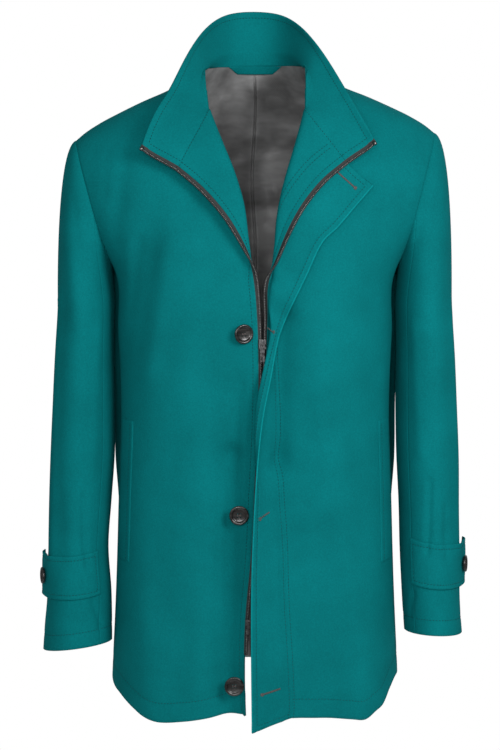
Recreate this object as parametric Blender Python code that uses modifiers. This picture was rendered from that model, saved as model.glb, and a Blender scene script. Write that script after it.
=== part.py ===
# Car coat in its worn form with no wearer: cloth walls cut, rolled and set seam to seam.
# Metres, +Z up, the wearer faces -Y, the origin is the middle of the neck at the collar seam.
import math
from collections import namedtuple

import bmesh
import bpy
import numpy as np
from mathutils import Matrix, Vector

for item in list(bpy.data.objects):
    bpy.data.objects.remove(item, do_unlink=True)

# Cloth walls and the space left between pieces
CLOTH = 0.0016
FACING = 0.0012
LINING = 0.0010
COLLAR_WALL = 0.0030
SEAM = 0.0003

# Body sections from the hem to above the shoulders
Section = namedtuple("Section", "z half_width front back")
SECTIONS = (
    Section(-0.870, 0.1975, 0.142, 0.134),
    Section(-0.700, 0.1880, 0.138, 0.128),
    Section(-0.550, 0.1825, 0.133, 0.116),
    Section(-0.450, 0.1790, 0.130, 0.108),
    Section(-0.350, 0.1820, 0.131, 0.114),
    Section(-0.262, 0.1880, 0.130, 0.122),
    Section(-0.240, 0.2000, 0.128, 0.124),
    Section(-0.200, 0.2250, 0.124, 0.126),
    Section(-0.150, 0.2450, 0.118, 0.124),
    Section(-0.100, 0.2620, 0.112, 0.120),
    Section(0.000, 0.2750, 0.100, 0.112),
    Section(0.100, 0.2800, 0.090, 0.100),
)
SQUARENESS = 2.7
ARMPIT_Z = -0.262
CHEST_Z = -0.240

# How far the back's sides stand out behind the sleeves, by height
Swell = namedtuple("Swell", "z out")
SWELLS = (
    Swell(-0.870, 0.0000),
    Swell(-0.680, 0.0000),
    Swell(-0.600, 0.0030),
    Swell(-0.520, 0.0125),
    Swell(-0.440, 0.0155),
    Swell(-0.360, 0.0155),
    Swell(-0.310, 0.0138),
    Swell(-0.290, 0.0132),
    Swell(-0.274, 0.0060),
    Swell(-0.264, 0.0000),
    Swell(-0.250, 0.0000),
    Swell(-0.100, 0.0000),
)
SWELL_DEPTH = 0.080

# Shoulder ridge, out from the neck; one shoulder sits a little higher
Ridge = namedtuple("Ridge", "x z")
RIDGE = (
    Ridge(0.000, 0.0800),
    Ridge(0.030, 0.0620),
    Ridge(0.066, 0.0000),
    Ridge(0.109, -0.0275),
    Ridge(0.150, -0.0450),
    Ridge(0.178, -0.0580),
    Ridge(0.204, -0.0711),
    Ridge(0.225, -0.0843),
    Ridge(0.236, -0.0935),
    Ridge(0.270, -0.1300),
)
SHOULDER_LEAN = 0.0215
NECK_X = 0.066
NECK_SPREAD = 0.018
SHOULDER_X = 0.2355

# Hem height by the share of the way from the side seam to the middle
Hem = namedtuple("Hem", "share right left back")
HEM = (
    Hem(0.00, -0.8150, -0.8150, -0.8150),
    Hem(0.10, -0.8200, -0.8120, -0.8185),
    Hem(0.20, -0.8240, -0.8120, -0.8220),
    Hem(0.30, -0.8278, -0.8213, -0.8255),
    Hem(0.40, -0.8352, -0.8390, -0.8290),
    Hem(0.47, -0.8412, -0.8442, -0.8305),
    Hem(0.55, -0.8482, -0.8515, -0.8320),
    Hem(0.65, -0.8524, -0.8490, -0.8335),
    Hem(0.80, -0.8489, -0.8443, -0.8350),
    Hem(0.90, -0.8434, -0.8436, -0.8355),
    Hem(1.00, -0.8375, -0.8427, -0.8360),
)

# Front edges by height on the roll line: the roll, the zip edge and how far that stands off
Front = namedtuple("Front", "z roll_x edge_x edge_z lift")
RIGHT_FRONT = (
    Front(-0.870, -0.0185, -0.0145, -0.8700, 0.000),
    Front(-0.715, -0.0175, -0.0135, -0.7150, 0.000),
    Front(-0.617, -0.0090, -0.0050, -0.6170, 0.000),
    Front(-0.540, -0.0053, -0.0013, -0.5400, 0.000),
    Front(-0.463, -0.0014, 0.0026, -0.4630, 0.000),
    Front(-0.360, -0.0004, 0.0036, -0.3600, 0.000),
    Front(-0.316, -0.0020, 0.0020, -0.3160, 0.000),
    Front(-0.276, -0.0060, -0.0015, -0.2760, 0.001),
    Front(-0.224, -0.0137, -0.0095, -0.2400, 0.006),
    Front(-0.180, -0.0195, -0.0243, -0.2075, 0.010),
    Front(-0.136, -0.0310, -0.0446, -0.1775, 0.013),
    Front(-0.097, -0.0456, -0.0690, -0.1515, 0.014),
    Front(-0.059, -0.0600, -0.0974, -0.1285, 0.014),
)
LEFT_FRONT = (
    Front(-0.870, 0.0150, 0.0110, -0.8700, 0.000),
    Front(-0.715, 0.0015, -0.0025, -0.7150, 0.000),
    Front(-0.617, 0.0100, 0.0060, -0.6170, 0.000),
    Front(-0.540, 0.0137, 0.0097, -0.5400, 0.000),
    Front(-0.463, 0.0176, 0.0136, -0.4630, 0.000),
    Front(-0.360, 0.0186, 0.0146, -0.3600, 0.000),
    Front(-0.316, 0.0200, 0.0160, -0.3160, 0.000),
    Front(-0.279, 0.0208, 0.0163, -0.2790, 0.001),
    Front(-0.234, 0.0278, 0.0280, -0.2437, 0.007),
    Front(-0.190, 0.0325, 0.0413, -0.2080, 0.012),
    Front(-0.145, 0.0422, 0.0597, -0.1742, 0.015),
    Front(-0.100, 0.0542, 0.0845, -0.1442, 0.016),
    Front(-0.058, 0.0650, 0.1140, -0.1205, 0.016),
)

# Fly flap by height on the roll line: seam inside the zip edge, then the free edge
Flap = namedtuple("Flap", "z seam edge_x edge_z lift turn")
FLAP = (
    Flap(-0.870, 0.042, -0.0030, -0.8835, 0.014, 0.000),
    Flap(-0.843, 0.042, -0.0032, -0.8560, 0.015, 0.000),
    Flap(-0.736, 0.046, -0.0042, -0.7450, 0.022, 0.000),
    Flap(-0.631, 0.034, -0.0035, -0.6400, 0.027, 0.000),
    Flap(-0.527, 0.023, 0.0013, -0.5380, 0.028, 0.010),
    Flap(-0.420, 0.018, 0.0100, -0.4420, 0.024, 0.078),
    Flap(-0.360, 0.014, 0.0195, -0.3940, 0.020, 0.050),
    Flap(-0.316, 0.009, 0.0300, -0.3420, 0.016, 0.000),
    Flap(-0.279, 0.006, 0.0430, -0.3080, 0.013, 0.000),
    Flap(-0.234, 0.006, 0.0640, -0.2640, 0.011, 0.000),
    Flap(-0.190, 0.006, 0.0830, -0.2240, 0.010, 0.000),
    Flap(-0.145, 0.006, 0.1040, -0.2030, 0.010, 0.000),
    Flap(-0.100, 0.006, 0.1270, -0.1770, 0.010, 0.000),
    Flap(-0.058, 0.006, 0.1487, -0.1531, 0.010, 0.000),
)

# Collar top edge by the share of the seam from the front edge to the middle of the back
Station = namedtuple("Station", "share x y z")
RIGHT_COLLAR = (
    Station(0.00, -0.1432, -0.1040, -0.1017),
    Station(0.16, -0.1310, -0.0860, -0.0650),
    Station(0.34, -0.1066, -0.0550, -0.0286),
    Station(0.50, -0.0844, -0.0160, 0.0256),
    Station(0.66, -0.0680, 0.0280, 0.0566),
    Station(0.83, -0.0480, 0.0700, 0.0680),
    Station(1.00, -0.0020, 0.0870, 0.0725),
)
LEFT_COLLAR = (
    Station(0.00, 0.1500, -0.1040, -0.0945),
    Station(0.16, 0.1310, -0.0860, -0.0600),
    Station(0.34, 0.1110, -0.0550, -0.0250),
    Station(0.50, 0.0830, -0.0160, 0.0260),
    Station(0.66, 0.0630, 0.0280, 0.0590),
    Station(0.83, 0.0440, 0.0700, 0.0680),
    Station(1.00, -0.0020, 0.0870, 0.0725),
)
COLLAR_BULGE = 0.003

# Sleeve sections: outer and inner edge from the middle, middle and half depth fore and aft
Ring = namedtuple("Ring", "z outer inner middle_y half_depth tilt_out tilt_front")
RIGHT_SLEEVE = (
    Ring(-0.770, 0.2850, 0.1925, -0.036, 0.056, -0.130, 0.140),
    Ring(-0.736, 0.2825, 0.1925, -0.034, 0.057, -0.130, 0.130),
    Ring(-0.706, 0.2795, 0.1930, -0.032, 0.058, -0.120, 0.110),
    Ring(-0.640, 0.2785, 0.1970, -0.025, 0.061, -0.070, 0.040),
    Ring(-0.581, 0.2775, 0.1930, -0.018, 0.066, -0.040, 0.020),
    Ring(-0.512, 0.2750, 0.1880, -0.013, 0.071, -0.020, 0.000),
    Ring(-0.444, 0.2715, 0.1875, -0.009, 0.074, 0.000, 0.000),
    Ring(-0.376, 0.2670, 0.1880, -0.005, 0.077, 0.000, 0.000),
    Ring(-0.315, 0.2620, 0.1895, -0.002, 0.080, 0.000, 0.000),
)
LEFT_SLEEVE = (
    Ring(-0.751, 0.2780, 0.2010, -0.036, 0.063, -0.030, 0.140),
    Ring(-0.719, 0.2755, 0.1985, -0.034, 0.064, -0.060, 0.130),
    Ring(-0.695, 0.2745, 0.1970, -0.032, 0.064, -0.090, 0.110),
    Ring(-0.640, 0.2755, 0.1945, -0.025, 0.066, -0.030, 0.040),
    Ring(-0.581, 0.2745, 0.1930, -0.018, 0.069, -0.020, 0.020),
    Ring(-0.512, 0.2735, 0.1895, -0.013, 0.072, -0.010, 0.000),
    Ring(-0.444, 0.2700, 0.1880, -0.009, 0.074, 0.000, 0.000),
    Ring(-0.376, 0.2660, 0.1880, -0.005, 0.077, 0.000, 0.000),
    Ring(-0.315, 0.2610, 0.1895, -0.002, 0.080, 0.000, 0.000),
)
CAP_SWELL = 0.062
CAP_SHARES = (0.0, 0.10, 0.24, 0.44, 0.70)
SLEEVE_ROWS = 11
FRONT_SEAM = 2

# Largest folds on the body: a line down the cloth, its width and how deep the trough is
Fold = namedtuple("Fold", "x_top z_top x_end z_end width depth")
FRONT_FOLDS = (
    Fold(-0.166, -0.110, -0.180, -0.225, 0.012, 0.0040),
    Fold(-0.130, -0.215, -0.168, -0.415, 0.017, 0.0065),
    Fold(-0.098, -0.235, -0.140, -0.430, 0.022, -0.0030),
    Fold(-0.045, -0.420, -0.048, -0.800, 0.026, 0.0035),
    Fold(-0.138, -0.880, -0.148, -0.690, 0.020, -0.0040),
    Fold(0.195, -0.120, 0.190, -0.170, 0.012, 0.0030),
    Fold(0.150, -0.280, 0.158, -0.450, 0.018, 0.0055),
    Fold(0.060, -0.330, 0.066, -0.560, 0.022, 0.0040),
    Fold(0.146, -0.880, 0.152, -0.700, 0.020, -0.0040),
)
BACK_FOLDS = (
    Fold(-0.120, -0.220, -0.150, -0.440, 0.020, -0.0055),
    Fold(0.110, -0.240, 0.146, -0.430, 0.022, -0.0050),
    Fold(-0.050, -0.420, -0.070, -0.820, 0.030, -0.0050),
    Fold(0.060, -0.480, 0.064, -0.820, 0.030, -0.0050),
)

# Welt, tab, button and zip sizes
WELT_SHARES = (0.172, 0.263, 0.354)
WELT_Z = (-0.4600, -0.6465)
WELT_WALL = 0.0016
TAB_WALL = 0.0020
Tab = namedtuple("Tab", "inner_top inner_foot outer_top outer_foot")
RIGHT_TAB = Tab(-0.635, -0.692, -0.648, -0.703)
LEFT_TAB = Tab(-0.618, -0.677, -0.631, -0.687)
TAB_LIFT = 0.009
TAB_BUTTON = 5
Button = namedtuple("Button", "x z lean")
FRONT_BUTTONS = (
    Button(-0.0150, -0.3386, 0.42),
    Button(-0.0205, -0.5731, 0.10),
    Button(-0.0270, -0.7975, 0.10),
)
BUTTON_RADIUS = 0.0125
CUFF_BUTTON_RADIUS = 0.0110
ZIP_WIDTH = 0.0036
ZIP_OPEN_WIDTH = 0.0056
ZIP_OPENS = 0.060
ZIP_WALL = 0.0022
ZIP_FOOT = 1
SLIDER_TOP_Z = -0.352
SLIDER_BOTTOM_Z = -0.715
SLIDER_OFF = 0.0006
PLATE = (0.0088, 0.0020, 0.0120)
BRIDGE = (0.0018, 0.0036, 0.0066)
EYE = (0.0040, 0.0022, 0.0046)
PULL = (0.0052, 0.0012, 0.0240)
SLOT = (0.0034, 0.0040, 0.0034)
BRIDGE_OFF = 0.0014
BAR_OFF = 0.0011
BAR_RISE = 0.0010
PULL_HEAD = 0.0006
SLOT_DROP = 0.0023
BUTTON_OFF = 0.0008
BUTTON_HEEL = 0.55
BUTTON_STEPS = 20
PLEAT = 0.006
LOOP_TOP = -0.0030
LOOP_FOOT = -0.0125
LOOP_HALF = 0.034
LOOP_NARROW = 0.72
LOOP_BOW = 0.0040
LOOP_WALL = 0.0012

# Shares of the way across and up that the panels are sampled at
CHEST_SHARES = (0.0, 0.085, 0.172, 0.263, 0.354, 0.45, 0.55, 0.65, 0.73, 0.80, 0.87, 0.94, 1.0)
NECK_COLUMN = 8
LAPEL_SHARES = (0.07, 0.15, 0.25, 0.38, 0.55, 0.77, 1.0)
LOWER_ROWS = 10
ARM_ROWS = 8
COLLAR_ROWS = 5
FLAP_SHARES = (0.0, 0.14, 0.30, 0.46, 0.62, 0.80, 1.0)

TEAL = (0.0040, 0.1900, 0.2000)
GREY_SATIN = (0.0500, 0.0500, 0.0510)
DARK_GREY = (0.0300, 0.0300, 0.0320)
HORN = (0.0180, 0.0160, 0.0150)
GUNMETAL = (0.1600, 0.1600, 0.1650)


def through(rows, column, at):
    """Smooth curve through a named column of a table, by the table's first column."""
    keys = np.array([row[0] for row in rows])
    values = np.array([getattr(row, column) for row in rows])
    slopes = np.gradient(values, keys)
    at = np.clip(np.asarray(at, dtype=float), keys[0], keys[-1])
    low = np.clip(np.searchsorted(keys, at) - 1, 0, len(keys) - 2)
    step = keys[low + 1] - keys[low]
    t = (at - keys[low]) / step
    start = (1 + 2 * t) * (1 - t) ** 2 * values[low] + t * (1 - t) ** 2 * step * slopes[low]
    end = t * t * (3 - 2 * t) * values[low + 1] + t * t * (t - 1) * step * slopes[low + 1]
    return start + end


def unit(vectors):
    """Vectors scaled to a length of one."""
    vectors = np.asarray(vectors, dtype=float)
    return vectors / np.maximum(np.linalg.norm(vectors, axis=-1, keepdims=True), 1e-12)


def bend(start, leave, end, arrive, share):
    """Curve between two points that leaves and arrives along given runs."""
    t = np.asarray(share, dtype=float)[..., None]
    first = (1 + 2 * t) * (1 - t) ** 2 * start + t * (1 - t) ** 2 * leave
    return first + t * t * (3 - 2 * t) * end + t * t * (t - 1) * arrive


def relief(folds, x, z):
    """Depth of the troughs at a place on a panel."""
    total = np.zeros(np.broadcast(x, z).shape)
    for fold in folds:
        run_x = fold.x_end - fold.x_top
        run_z = fold.z_end - fold.z_top
        along = (x - fold.x_top) * run_x + (z - fold.z_top) * run_z
        along = np.clip(along / (run_x ** 2 + run_z ** 2), 0.0, 1.0)
        gap = np.hypot(x - fold.x_top - along * run_x, z - fold.z_top - along * run_z)
        total = total + fold.depth * np.exp(-(gap / fold.width) ** 2)
    return total


def ridge_z(x):
    """Height of the shoulder ridge."""
    return through(RIDGE, "z", np.abs(x)) + SHOULDER_LEAN * np.asarray(x, dtype=float)


def body_y(x, z, face):
    """Depth of the front (face -1) or back (face +1) of the body at x and z."""
    depth = through(SECTIONS, "front" if face < 0 else "back", z)
    width = through(SECTIONS, "half_width", z)
    across = np.clip(np.abs(x) / width, 0.0, 1.0)
    oval = (1 - across ** SQUARENESS) ** (1 / SQUARENESS)
    rise = np.clip((z - CHEST_Z) / (ridge_z(x) - CHEST_Z), 0.0, 1.0)
    over = np.sqrt(1 - rise * rise)
    folds = FRONT_FOLDS if face < 0 else BACK_FOLDS
    return face * (depth * oval * over + SEAM / 2) + relief(folds, x, z) * oval * over


def spread(share):
    """Share of the half width that a column stands at."""
    return np.maximum(np.cos(share * math.pi / 2), 0.0) ** (2 / SQUARENESS)


def row_levels():
    """Rows as pairs: below the armpit by share of height, above it by the arc over the shoulder."""
    lower = [(p / LOWER_ROWS, 0.0) for p in range(LOWER_ROWS + 1)]
    upper = [(1.0, math.sin(math.pi / 2 * w / ARM_ROWS)) for w in range(1, ARM_ROWS + 1)]
    return lower + upper


def front_panel(side, table):
    """Grid of a front from the side to the zip edge, with the lapel rolled out."""
    shares = np.array(CHEST_SHARES)
    neck_share = shares[NECK_COLUMN]
    top_roll = table[-1]
    over = np.clip((shares - neck_share) / (1 - neck_share), 0.0, 1.0)
    shoulder = SHOULDER_X + (NECK_X - SHOULDER_X) * np.clip(shares / neck_share, 0.0, 1.0)
    top_x = side * shoulder + (top_roll.roll_x - side * NECK_X) * over ** 1.5
    neck_z = ridge_z(side * NECK_X)
    top_z = np.where(over > 0, neck_z + (top_roll.z - neck_z) * over, ridge_z(top_x))
    hem_z = through(HEM, "right" if side < 0 else "left", shares)
    arm_roll = through(table, "roll_x", ARMPIT_Z)
    arm_x = arm_roll + (side * through(SECTIONS, "half_width", ARMPIT_Z) - arm_roll) * spread(shares)
    grid = []
    for low, high in row_levels():
        if high == 0.0:
            z = hem_z + (ARMPIT_Z - hem_z) * low
            roll = through(table, "roll_x", z)
            x = roll + (side * through(SECTIONS, "half_width", z) - roll) * spread(shares)
        else:
            z = ARMPIT_Z + (top_z - ARMPIT_Z) * high
            x = arm_x + (top_x - arm_x) * high
            x = x + (through(table, "roll_x", z[-1]) - x[-1]) * shares ** 4
            climb = math.sin(2 * math.asin(high)) ** 0.7
            x = x + side * NECK_SPREAD * np.sin(math.pi * over) * climb
        chest = np.stack([x, body_y(x, z, -1), z], axis=-1)
        grid.append(np.concatenate([chest, lapel_row(table, chest)]))
    return np.array(grid)


def lapel_row(table, chest):
    """Points of one row past the roll line, out to the zip edge."""
    roll = chest[-1]
    edge_x = through(table, "edge_x", roll[2])
    edge_z = through(table, "edge_z", roll[2])
    lift = through(table, "lift", roll[2])
    edge = np.array([edge_x, body_y(edge_x, edge_z, -1) - lift, edge_z])
    reach = np.linalg.norm(edge - roll)
    leave = unit(chest[-1] - chest[-2]) * min(reach, 0.035) + np.array([0.0, -2.4, 1.0]) * lift
    return bend(roll, leave, edge, (edge - roll) * 1.1, np.array(LAPEL_SHARES))


def back_panel():
    """Grid of the back from the right side seam across to the left one."""
    half = np.array(CHEST_SHARES)
    neck_share = half[NECK_COLUMN]
    over = np.clip((half - neck_share) / (1 - neck_share), 0.0, 1.0)
    shoulder = SHOULDER_X + (NECK_X - SHOULDER_X) * np.clip(half / neck_share, 0.0, 1.0)
    sides = []
    for side in (-1, 1):
        top_x = side * shoulder - side * NECK_X * over
        neck_z = ridge_z(side * NECK_X)
        top_z = np.where(over > 0, neck_z * (1 - over), ridge_z(top_x))
        hem_z = through(HEM, "back", half)
        arm_x = side * through(SECTIONS, "half_width", ARMPIT_Z) * spread(half)
        grid = []
        for low, high in row_levels():
            if high == 0.0:
                z = hem_z + (ARMPIT_Z - hem_z) * low
                x = side * through(SECTIONS, "half_width", z) * spread(half)
            else:
                z = ARMPIT_Z + (top_z - ARMPIT_Z) * high
                x = arm_x + (top_x - arm_x) * high
            y = body_y(x, z, 1)
            stands = np.sin(math.pi * np.clip(y / SWELL_DEPTH, 0.0, 1.0)) ** 2
            x = x + side * through(SWELLS, "out", z) * stands
            grid.append(np.stack([x, y, z], axis=-1))
        sides.append(np.array(grid))
    return np.concatenate([sides[0], sides[1][:, -2::-1]], axis=1)


def grid_normals(grid, toward):
    """Unit normals of a grid, turned to one side of the cloth."""
    along = np.gradient(grid, axis=0)
    across = np.gradient(grid, axis=1)
    return unit(np.cross(along, across)) * toward


def over_shoulder(normals, grid, columns):
    """Normals along the shoulder seams, square to the ridge."""
    for column in columns:
        x = grid[-1, column, 0]
        slope = (ridge_z(x + 0.002) - ridge_z(x - 0.002)) / 0.004
        normals[-1, column] = unit(np.array([-slope, 0.0, 1.0]))
    return normals


def material(name, colour, roughness, metallic):
    """Plain surface with a colour, a roughness and a metal share."""
    made = bpy.data.materials.new(name)
    made.use_nodes = True
    shader = made.node_tree.nodes["Principled BSDF"]
    shader.inputs["Base Color"].default_value = (*colour, 1.0)
    shader.inputs["Roughness"].default_value = roughness
    shader.inputs["Metallic"].default_value = metallic
    return made


coat = bpy.data.collections.new("car_coat")
bpy.context.scene.collection.children.link(coat)


def place(name, mesh, surface):
    """One named piece in the coat's collection."""
    mesh.materials.append(surface)
    piece = bpy.data.objects.new(name, mesh)
    coat.objects.link(piece)
    return piece


def wall(name, outer, inner, surface):
    """Closed cloth wall between two grids, with its rim."""
    rows, columns = outer.shape[:2]
    count = rows * columns
    points = np.concatenate([outer.reshape(-1, 3), inner.reshape(-1, 3)])
    faces = []
    for i in range(rows - 1):
        for j in range(columns - 1):
            a = i * columns + j
            b = a + columns
            for face in ((a, a + 1, b + 1), (a, b + 1, b)):
                faces.append(face)
                faces.append(tuple(v + count for v in reversed(face)))
    rim = [j for j in range(columns)]
    rim += [i * columns + columns - 1 for i in range(1, rows)]
    rim += [(rows - 1) * columns + j for j in range(columns - 2, -1, -1)]
    rim += [i * columns for i in range(rows - 2, 0, -1)]
    for a, b in zip(rim, rim[1:] + rim[:1]):
        faces.append((b, a, a + count, b + count))
    mesh = bpy.data.meshes.new(name)
    mesh.from_pydata([tuple(p) for p in points], [], faces)
    form = bmesh.new()
    form.from_mesh(mesh)
    bmesh.ops.recalc_face_normals(form, faces=form.faces)
    form.to_mesh(mesh)
    form.free()
    return place(name, mesh, surface)


def at_height(column, z):
    """Point on a column of a panel at a height, on the straight between its rows."""
    order = np.argsort(column[:, 2])
    return np.array([np.interp(z, column[order, 2], column[order, k]) for k in range(3)])


cloth = material("teal_cloth", TEAL, 0.85, 0.0)
satin = material("grey_lining", GREY_SATIN, 0.38, 0.0)
tape = material("zip_tape", DARK_GREY, 0.70, 0.0)
horn = material("button_horn", HORN, 0.32, 0.0)
metal = material("zip_metal", GUNMETAL, 0.35, 1.0)

# Fronts
right = front_panel(-1, RIGHT_FRONT)
left = front_panel(1, LEFT_FRONT)
right_out = over_shoulder(grid_normals(right, -1), right, range(NECK_COLUMN + 1))
left_out = over_shoulder(grid_normals(left, 1), left, range(NECK_COLUMN + 1))
right_out[:LOWER_ROWS + 1, 0] = (-1.0, 0.0, 0.0)
left_out[:LOWER_ROWS + 1, 0] = (1.0, 0.0, 0.0)
wall("front_right", right, right - right_out * CLOTH, cloth)
wall("front_left", left, left - left_out * CLOTH, cloth)

# Back
back = back_panel()
last = back.shape[1] - 1
shoulder_columns = list(range(NECK_COLUMN + 1)) + list(range(last - NECK_COLUMN, last + 1))
back_out = over_shoulder(grid_normals(back, 1), back, shoulder_columns)
back_out[:LOWER_ROWS + 1, 0] = (-1.0, 0.0, 0.0)
back_out[:LOWER_ROWS + 1, last] = (1.0, 0.0, 0.0)
wall("back", back, back - back_out * CLOTH, cloth)

# Facings, on the inside of the fronts and out to the zip edge
facing_from = len(CHEST_SHARES) - 3
for name, shell, out in (("facing_right", right, right_out), ("facing_left", left, left_out)):
    near = shell[:, facing_from:] - out[:, facing_from:] * (CLOTH + SEAM * 2.4)
    near[-1] += unit(near[-2] - near[-1]) * SEAM * 4
    wall(name, near, near - out[:, facing_from:] * FACING, cloth)


def flap_grid():
    """Fly flap from its seam on the left front to its free edge, turned out at the lapel."""
    grid = []
    for row, out in zip(left, left_out):
        height = row[len(CHEST_SHARES) - 1, 2]
        steps = np.linalg.norm(np.diff(row[::-1], axis=0), axis=1)
        inward = np.concatenate([[0.0], np.cumsum(steps)])
        seam = through(FLAP, "seam", height)
        root = np.array([np.interp(seam, inward, row[::-1, k]) for k in range(3)])
        ahead = np.array([np.interp(seam - 0.004, inward, row[::-1, k]) for k in range(3)])
        normal = unit(np.array([np.interp(seam, inward, out[::-1, k]) for k in range(3)]))
        edge_x = through(FLAP, "edge_x", height)
        edge_z = through(FLAP, "edge_z", height)
        lift = through(FLAP, "lift", height)
        edge = np.array([edge_x, body_y(edge_x, edge_z, -1) - lift, edge_z])
        turned = through(LEFT_FRONT, "lift", height) / 0.016
        toward = unit(unit(ahead - root) + unit(edge - root) * (1 - turned))
        leave = toward * (0.080 - 0.030 * turned) + normal * 0.012 * (1 - turned)
        arrive = (edge - row[-1]) * 1.2 * turned + (edge - root) * 0.9 * (1 - turned)
        arrive[0] += through(FLAP, "turn", height)
        line = bend(root + normal * (SEAM * 2 + CLOTH), leave, edge, arrive, np.array(FLAP_SHARES))
        bow = np.sin(math.pi * np.array(FLAP_SHARES))[:, None]
        grid.append(line + normal * bow * 0.003 * turned)
    return np.array(grid)


flap = flap_grid()
flap_out = grid_normals(flap, 1)
wall("fly_flap", flap, flap - flap_out * CLOTH, cloth)


def collar_half(shell, table, neck):
    """Collar columns from the front edge to the middle of the back, seam to top edge."""
    lapel = shell[-2:, NECK_COLUMN:][:, ::-1]
    edge = np.concatenate([lapel, neck], axis=1)
    lead = np.where(np.arange(edge.shape[1]) < lapel.shape[1], SEAM * 4.4, SEAM * 1.5)
    seam = edge[1] + unit(edge[1] - edge[0]) * lead[:, None]
    run = np.concatenate([[0.0], np.cumsum(np.linalg.norm(np.diff(seam, axis=0), axis=1))])
    share = run / run[-1]
    top = np.stack([through(table, axis, share) for axis in "xyz"], axis=-1)
    rows = []
    for b in np.linspace(0.0, 1.0, COLLAR_ROWS + 1):
        rows.append(seam + (top - seam) * b)
    return np.array(rows)


middle = last // 2
right_half = collar_half(right, RIGHT_COLLAR, back[-2:, NECK_COLUMN + 1:middle + 1])
left_half = collar_half(left, LEFT_COLLAR, back[-2:, last - NECK_COLUMN - 1:middle - 1:-1])
collar = np.concatenate([right_half, left_half[:, -2::-1]], axis=1)
collar_out = grid_normals(collar, 1)
height_share = np.linspace(0.0, 1.0, COLLAR_ROWS + 1)[:, None, None]
collar = collar + collar_out * COLLAR_BULGE * np.sin(math.pi * height_share ** 2)
rise = unit(collar[1] - collar[0])
collar[0] = collar[0] + rise * SEAM
collar_out = grid_normals(collar, 1)
neck_out = [right_out[-1, NECK_COLUMN:][::-1], back_out[-1, NECK_COLUMN + 1:last - NECK_COLUMN]]
neck_out.append(left_out[-1, NECK_COLUMN:])
collar_out[0] = unit(collar_out[0] + np.concatenate(neck_out))
wall("collar", collar, collar - collar_out * COLLAR_WALL, cloth)


def sleeve_grid(side, table, front, front_out, rear, rear_out):
    """Sleeve rings from the armhole to the cuff, as closed columns from the armpit round the front."""
    hole = np.concatenate([front[LOWER_ROWS:, 0], rear[-2:LOWER_ROWS - 1:-1]])
    hole_out = np.concatenate([front_out[LOWER_ROWS:, 0], rear_out[-2:LOWER_ROWS - 1:-1]])
    turn = np.linspace(math.pi, -math.pi, len(hole))
    top = (1 + np.cos(turn)) / 2

    def ring(z):
        outer = through(table, "outer", z)
        inner = through(table, "inner", z)
        half = (outer - inner) / 2
        depth = through(table, "half_depth", z)
        x = side * ((outer + inner) / 2 + half * np.cos(turn))
        y = through(table, "middle_y", z) - depth * np.sin(turn)
        tilt = through(table, "tilt_out", z) * half * np.cos(turn)
        tilt = tilt + through(table, "tilt_front", z) * depth * np.sin(turn)
        return np.stack([x, y, z + tilt], axis=-1)

    first = ring(table[-1].z)
    start = hole + side * SEAM * (5.0 - 3.0 * top[:, None]) * np.array([1.0, 0.0, 0.0])
    leave_x = side * (0.014 + CAP_SWELL * top)
    leave = np.stack([leave_x, -0.020 * np.sin(turn), -0.050 + 0.030 * top], axis=-1)
    arrive = np.zeros_like(start)
    arrive[:, 2] = first[:, 2] - start[:, 2]
    rows = [bend(start, leave, first, arrive, np.full(len(hole), share)) for share in CAP_SHARES]
    rows += [ring(z) for z in np.linspace(table[-1].z, table[0].z, SLEEVE_ROWS)]
    grid = np.array(rows)
    padded = np.concatenate([grid[:, -2:-1], grid, grid[:, 1:2]], axis=1)
    out = grid_normals(padded, 1)[:, 1:-1]
    axis = grid.mean(axis=1, keepdims=True)
    if np.sum(out[6:] * (grid - axis)[6:]) < 0:
        out = -out
    out[0] = hole_out
    return grid, out


def clear_of(line, beside):
    """Directions from a seam line toward the column beside it, square to the line."""
    run = unit(np.gradient(line, axis=0))
    across = beside - line
    return unit(across - run * np.sum(across * run, axis=1, keepdims=True))


def tab_wall(name, grid, out, size):
    """Cuff tab from the front seam round the outside, standing off at its end."""
    columns = range(FRONT_SEAM, FRONT_SEAM + 8)
    near = []
    normal = []
    for number, column in enumerate(columns):
        share = number / 7
        high = size.inner_top + (size.outer_top - size.inner_top) * share
        foot = size.inner_foot + (size.outer_foot - size.inner_foot) * share
        lift = TAB_LIFT * max(0.0, (number - 3) / 4) ** 2
        line = grid[:, column]
        aim = unit(np.array([np.interp(-high, -line[:, 2], out[:, column, k]) for k in range(3)]))
        levels = np.linspace(high, foot, 4)
        near.append([at_height(line, z) + aim * (SEAM * 2 + lift) for z in levels])
        normal.append([aim] * 4)
    near = np.array(near)
    normal = np.array(normal)
    wall(name, near + normal * TAB_WALL, near, cloth)
    return (near + normal * TAB_WALL)[TAB_BUTTON, 1:3].mean(axis=0), normal[TAB_BUTTON, 1]


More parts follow.
